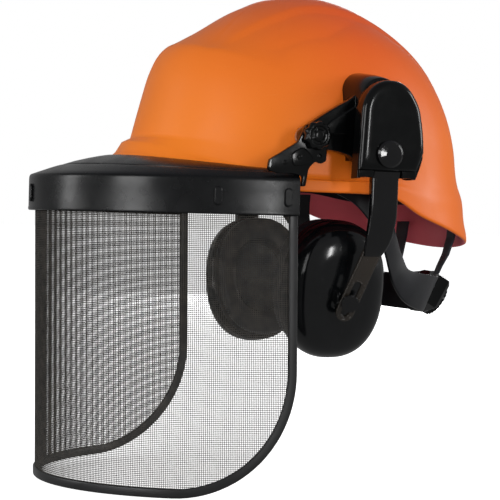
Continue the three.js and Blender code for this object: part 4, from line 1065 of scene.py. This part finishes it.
def build_arm(side, sign, plastic, blade_plastic):
    stations = [(128.2, 136.6, 4, 24.4, 20), (128.2, 136.6, 4, 24.4, 15.5), (128.4, 136.2, 4, 24.4, 4),
                (128.3, 135.8, 4, 24.4, -8), (127.9, 135.2, 3.9, 24.2, -16), (127.2, 134.1, 3.4, 23.3, -24),
                (126.5, 133, 2.9, 21.8, -31), (125.7, 131.6, 2.6, 19.4, -37), (125.2, 130, 2.8, 17, -41),
                (125.1, 129, 3.4, 15.8, -42.6)]
    rings = []
    for x0, x1, y0, y1, z in stations:
        rings.append([(sign * x, y, z) for x, y in rounded_box(x0, x1, y0, y1, 2.6, 5)])
    smooth = spline(np.array(rings).reshape(len(rings), -1), np.linspace(0, 1, 46)).reshape(46, -1, 3)
    parts = [raw_sweep(smooth)]
    down = (BLADE_END - BLADE_TOP) / np.linalg.norm(BLADE_END - BLADE_TOP)
    to = STUD - BLADE_TOP
    out = to - down * (to @ down)
    out = -out / np.linalg.norm(out)
    across = np.cross(down, out)
    length = np.linalg.norm(BLADE_END - BLADE_TOP)

    def stadium(t0, r, h, steps=18):
        ring = []
        for a in np.linspace(0, math.pi, steps):
            ring.append((r * math.cos(a), length + r * math.sin(a)))
        for a in np.linspace(math.pi, 2 * math.pi, steps):
            ring.append((r * math.cos(a), t0 + r * math.sin(a)))
        ring = [BLADE_TOP + across * u + down * v + out * h for u, v in ring]
        return [(sign * p[0], p[1], p[2]) for p in ring]
    rows = [(12, 6.5, 0.9), (12, 6.2, 1.35), (12, 5.8, 1.5), (12, 5.3, 1.5), (12, 5.0, 1.15), (43, 3.6, 1.15),
            (43, 3.4, 1.5), (43, 3.0, 1.5), (43, 2.7, 1.2), (43, 2.7, -1.2), (43, 3.0, -1.5), (12, 6.0, -1.5),
            (12, 6.4, -1.3), (12, 6.5, -0.9)]
    bar = raw_sweep([stadium(*row) for row in rows], closed=True)
    gather("blade_skin_" + side, [bar], "arm_" + side, [blade_plastic])
    eye = []
    for y, r in ((4.05, 3.2), (4.05, 4.2), (4.4, 4.6), (24.0, 4.6), (24.35, 4.2), (24.35, 3.2)):
        around = np.linspace(0, 2 * math.pi, 33)[:-1]
        eye.append([(sign * (133 + r * math.cos(a)), y, 15.5 + r * math.sin(a)) for a in around])
    parts.append(raw_sweep(eye))
    return gather("arm_skin_" + side, parts, "arm_" + side, [plastic], ("ear_arm_" + side,))


def build_cup_boss(side, sign, plastic):
    """The small domed plug beside the arm on the cup's face."""
    rings = []
    for k in range(7):
        a = math.pi / 2 * k / 6
        q, h = max(3.4 * math.cos(a), 0.05), 30.2 + 3.2 * math.sin(a)
        around = [j * math.pi / 12 for j in range(24)]
        x = np.array([-17.5 + q * math.cos(a) for a in around])
        y = np.array([12 + q * math.sin(a) for a in around])
        rings.append(cup_point(x, y, np.full(24, h - 1.0), sign))
    return sweep("cup_plug_" + side, rings, "muff_" + side, [plastic])


# Stations of the nape band: lower or front edge y, z, x and then upper or rear edge y, z, x.
NAPE = [
    (0, 2, 79, 48, 3, 73.3), (15, -5, 79.5, 48, -8, 75), (26, -15, 79.5, 49, -17, 76),
    (35, -27, 79, 51.5, -27, 76.5), (41.5, -40, 78.5, 54.5, -37, 76.5), (46, -54, 78, 59, -46, 75),
    (50, -64, 77, 63, -52.5, 74.5), (58, -74, 73.5, 72, -55, 70.5), (68, -80, 67.5, 82, -56.5, 64),
    (82, -84, 56, 94, -58, 53.5), (91.5, -85.5, 44, 104, -59, 42), (97.5, -86.5, 30, 111.5, -59.5, 29),
    (101.5, -87, 15, 116, -60, 14.5), (103, -87, 0, 117.5, -60, 0),
]
NAPE_THICK = 2.4


def build_nape(plastic):
    """The nape band, smooth along its length, with rounded edges."""
    mirror = np.array([1, 1, -1, 1, 1, -1])
    rows = np.array(NAPE + [tuple(np.array(r) * mirror) for r in NAPE[-2::-1]], float)
    rings = []
    for y0, z0, x0, y1, z1, x1 in spline(rows, np.linspace(0, 1, 27 * 6)):
        low, high = np.array([x0, y0, z0]), np.array([x1, y1, z1])
        out = np.array([(x0 + x1) / 2 / 78**2, ((y0 + y1) / 2 - 25) / 92**2, 0])
        out = out / np.linalg.norm(out)
        width = np.linalg.norm(high - low)
        along = (high - low) / width
        rings.append([low + along * w + out * h for w, h in rounded_box(0, width, 0, NAPE_THICK, 0.8)])
    o = sweep("nape_skin", rings, "helmet", [plastic], ("nape_band",))
    crease(o, 50)
    return o


# ---------------------------------------------------------------- build

camera()
studio()

orange = orange_plastic()
painted_inside_shade = inside_shade_plastic()
guard = black_plastic("guard_plastic", (7, 8, 9), (14, 15, 17), 0.26, specular=0.26)
satin = black_plastic("satin_plastic", (3, 4, 4), (8, 9, 10), 0.14, 700, 0.08, specular=0.22)
band = black_plastic("band_plastic", (9, 10, 13), (17, 18, 23), 0.42, 500, 0.2, specular=0.35)
matte = black_plastic("matte_plastic", (20, 22, 28), (34, 38, 46), 0.5, 500, 0.3)
glossy = black_plastic("gloss_plastic", (6, 7, 8), (14, 15, 17), 0.13, 300, 0.05, specular=0.4)
arm_black = black_plastic("arm_plastic", (4, 4, 5), (9, 9, 11), 0.08, 260, 0.08, specular=0.45)
blade_black = black_plastic("blade_plastic", (28, 24, 20), (42, 36, 30), 0.22, 500, 0.12)
binding = black_plastic("trim_plastic", (8, 8, 9), (18, 18, 20), 0.38, 800, 0.25)
steel = bright_steel()
wire = wire_metal()
vinyl = cushion_vinyl()
foam = open_foam("cup_foam", (44, 46, 50), (86, 88, 92))
pad_foam = open_foam("crown_foam", (38, 40, 44), (70, 72, 78))
terry = sweat_cloth()
weave = strap_weave()

shell_skin = build_shell(orange, painted_inside_shade)
build_wires(wire)
build_trim(binding)
build_browguard(guard)
for side, sign in (("left", 1), ("right", -1)):
    build_cup(side, sign, glossy)
    build_cup_boss(side, sign, glossy)
    build_mount(side, sign, satin, shell_skin)
    build_brow_arm(side, sign, satin)
    build_knob(side, sign, satin)
    build_arm(side, sign, arm_black, blade_black)
build_soft(vinyl, foam, terry, pad_foam)

build_nape(band)
wear(["headband"], band)
wear(both("clip_front", "clip_rear") + ["clip_front_centre", "clip_rear_centre"], matte)
wear(["crown_strap_1", "crown_strap_2", "crown_strap_3"], weave)
wear(both("nape_strap"), matte)
wear(["adjuster_housing", "adjuster_wheel"], satin)
wear(["adjuster_pinion"], matte)
wear(both("slot_adapter"), matte)
wear(both("pivot_cap"), arm_black)
wear(both("cup_stud"), arm_black)
wear(both("cup_plate"), matte)
wear(both("arm_hinge_pin", "visor_bolt"), steel)
wear(["visor_stud_%d" % i for i in range(1, 6)], guard)
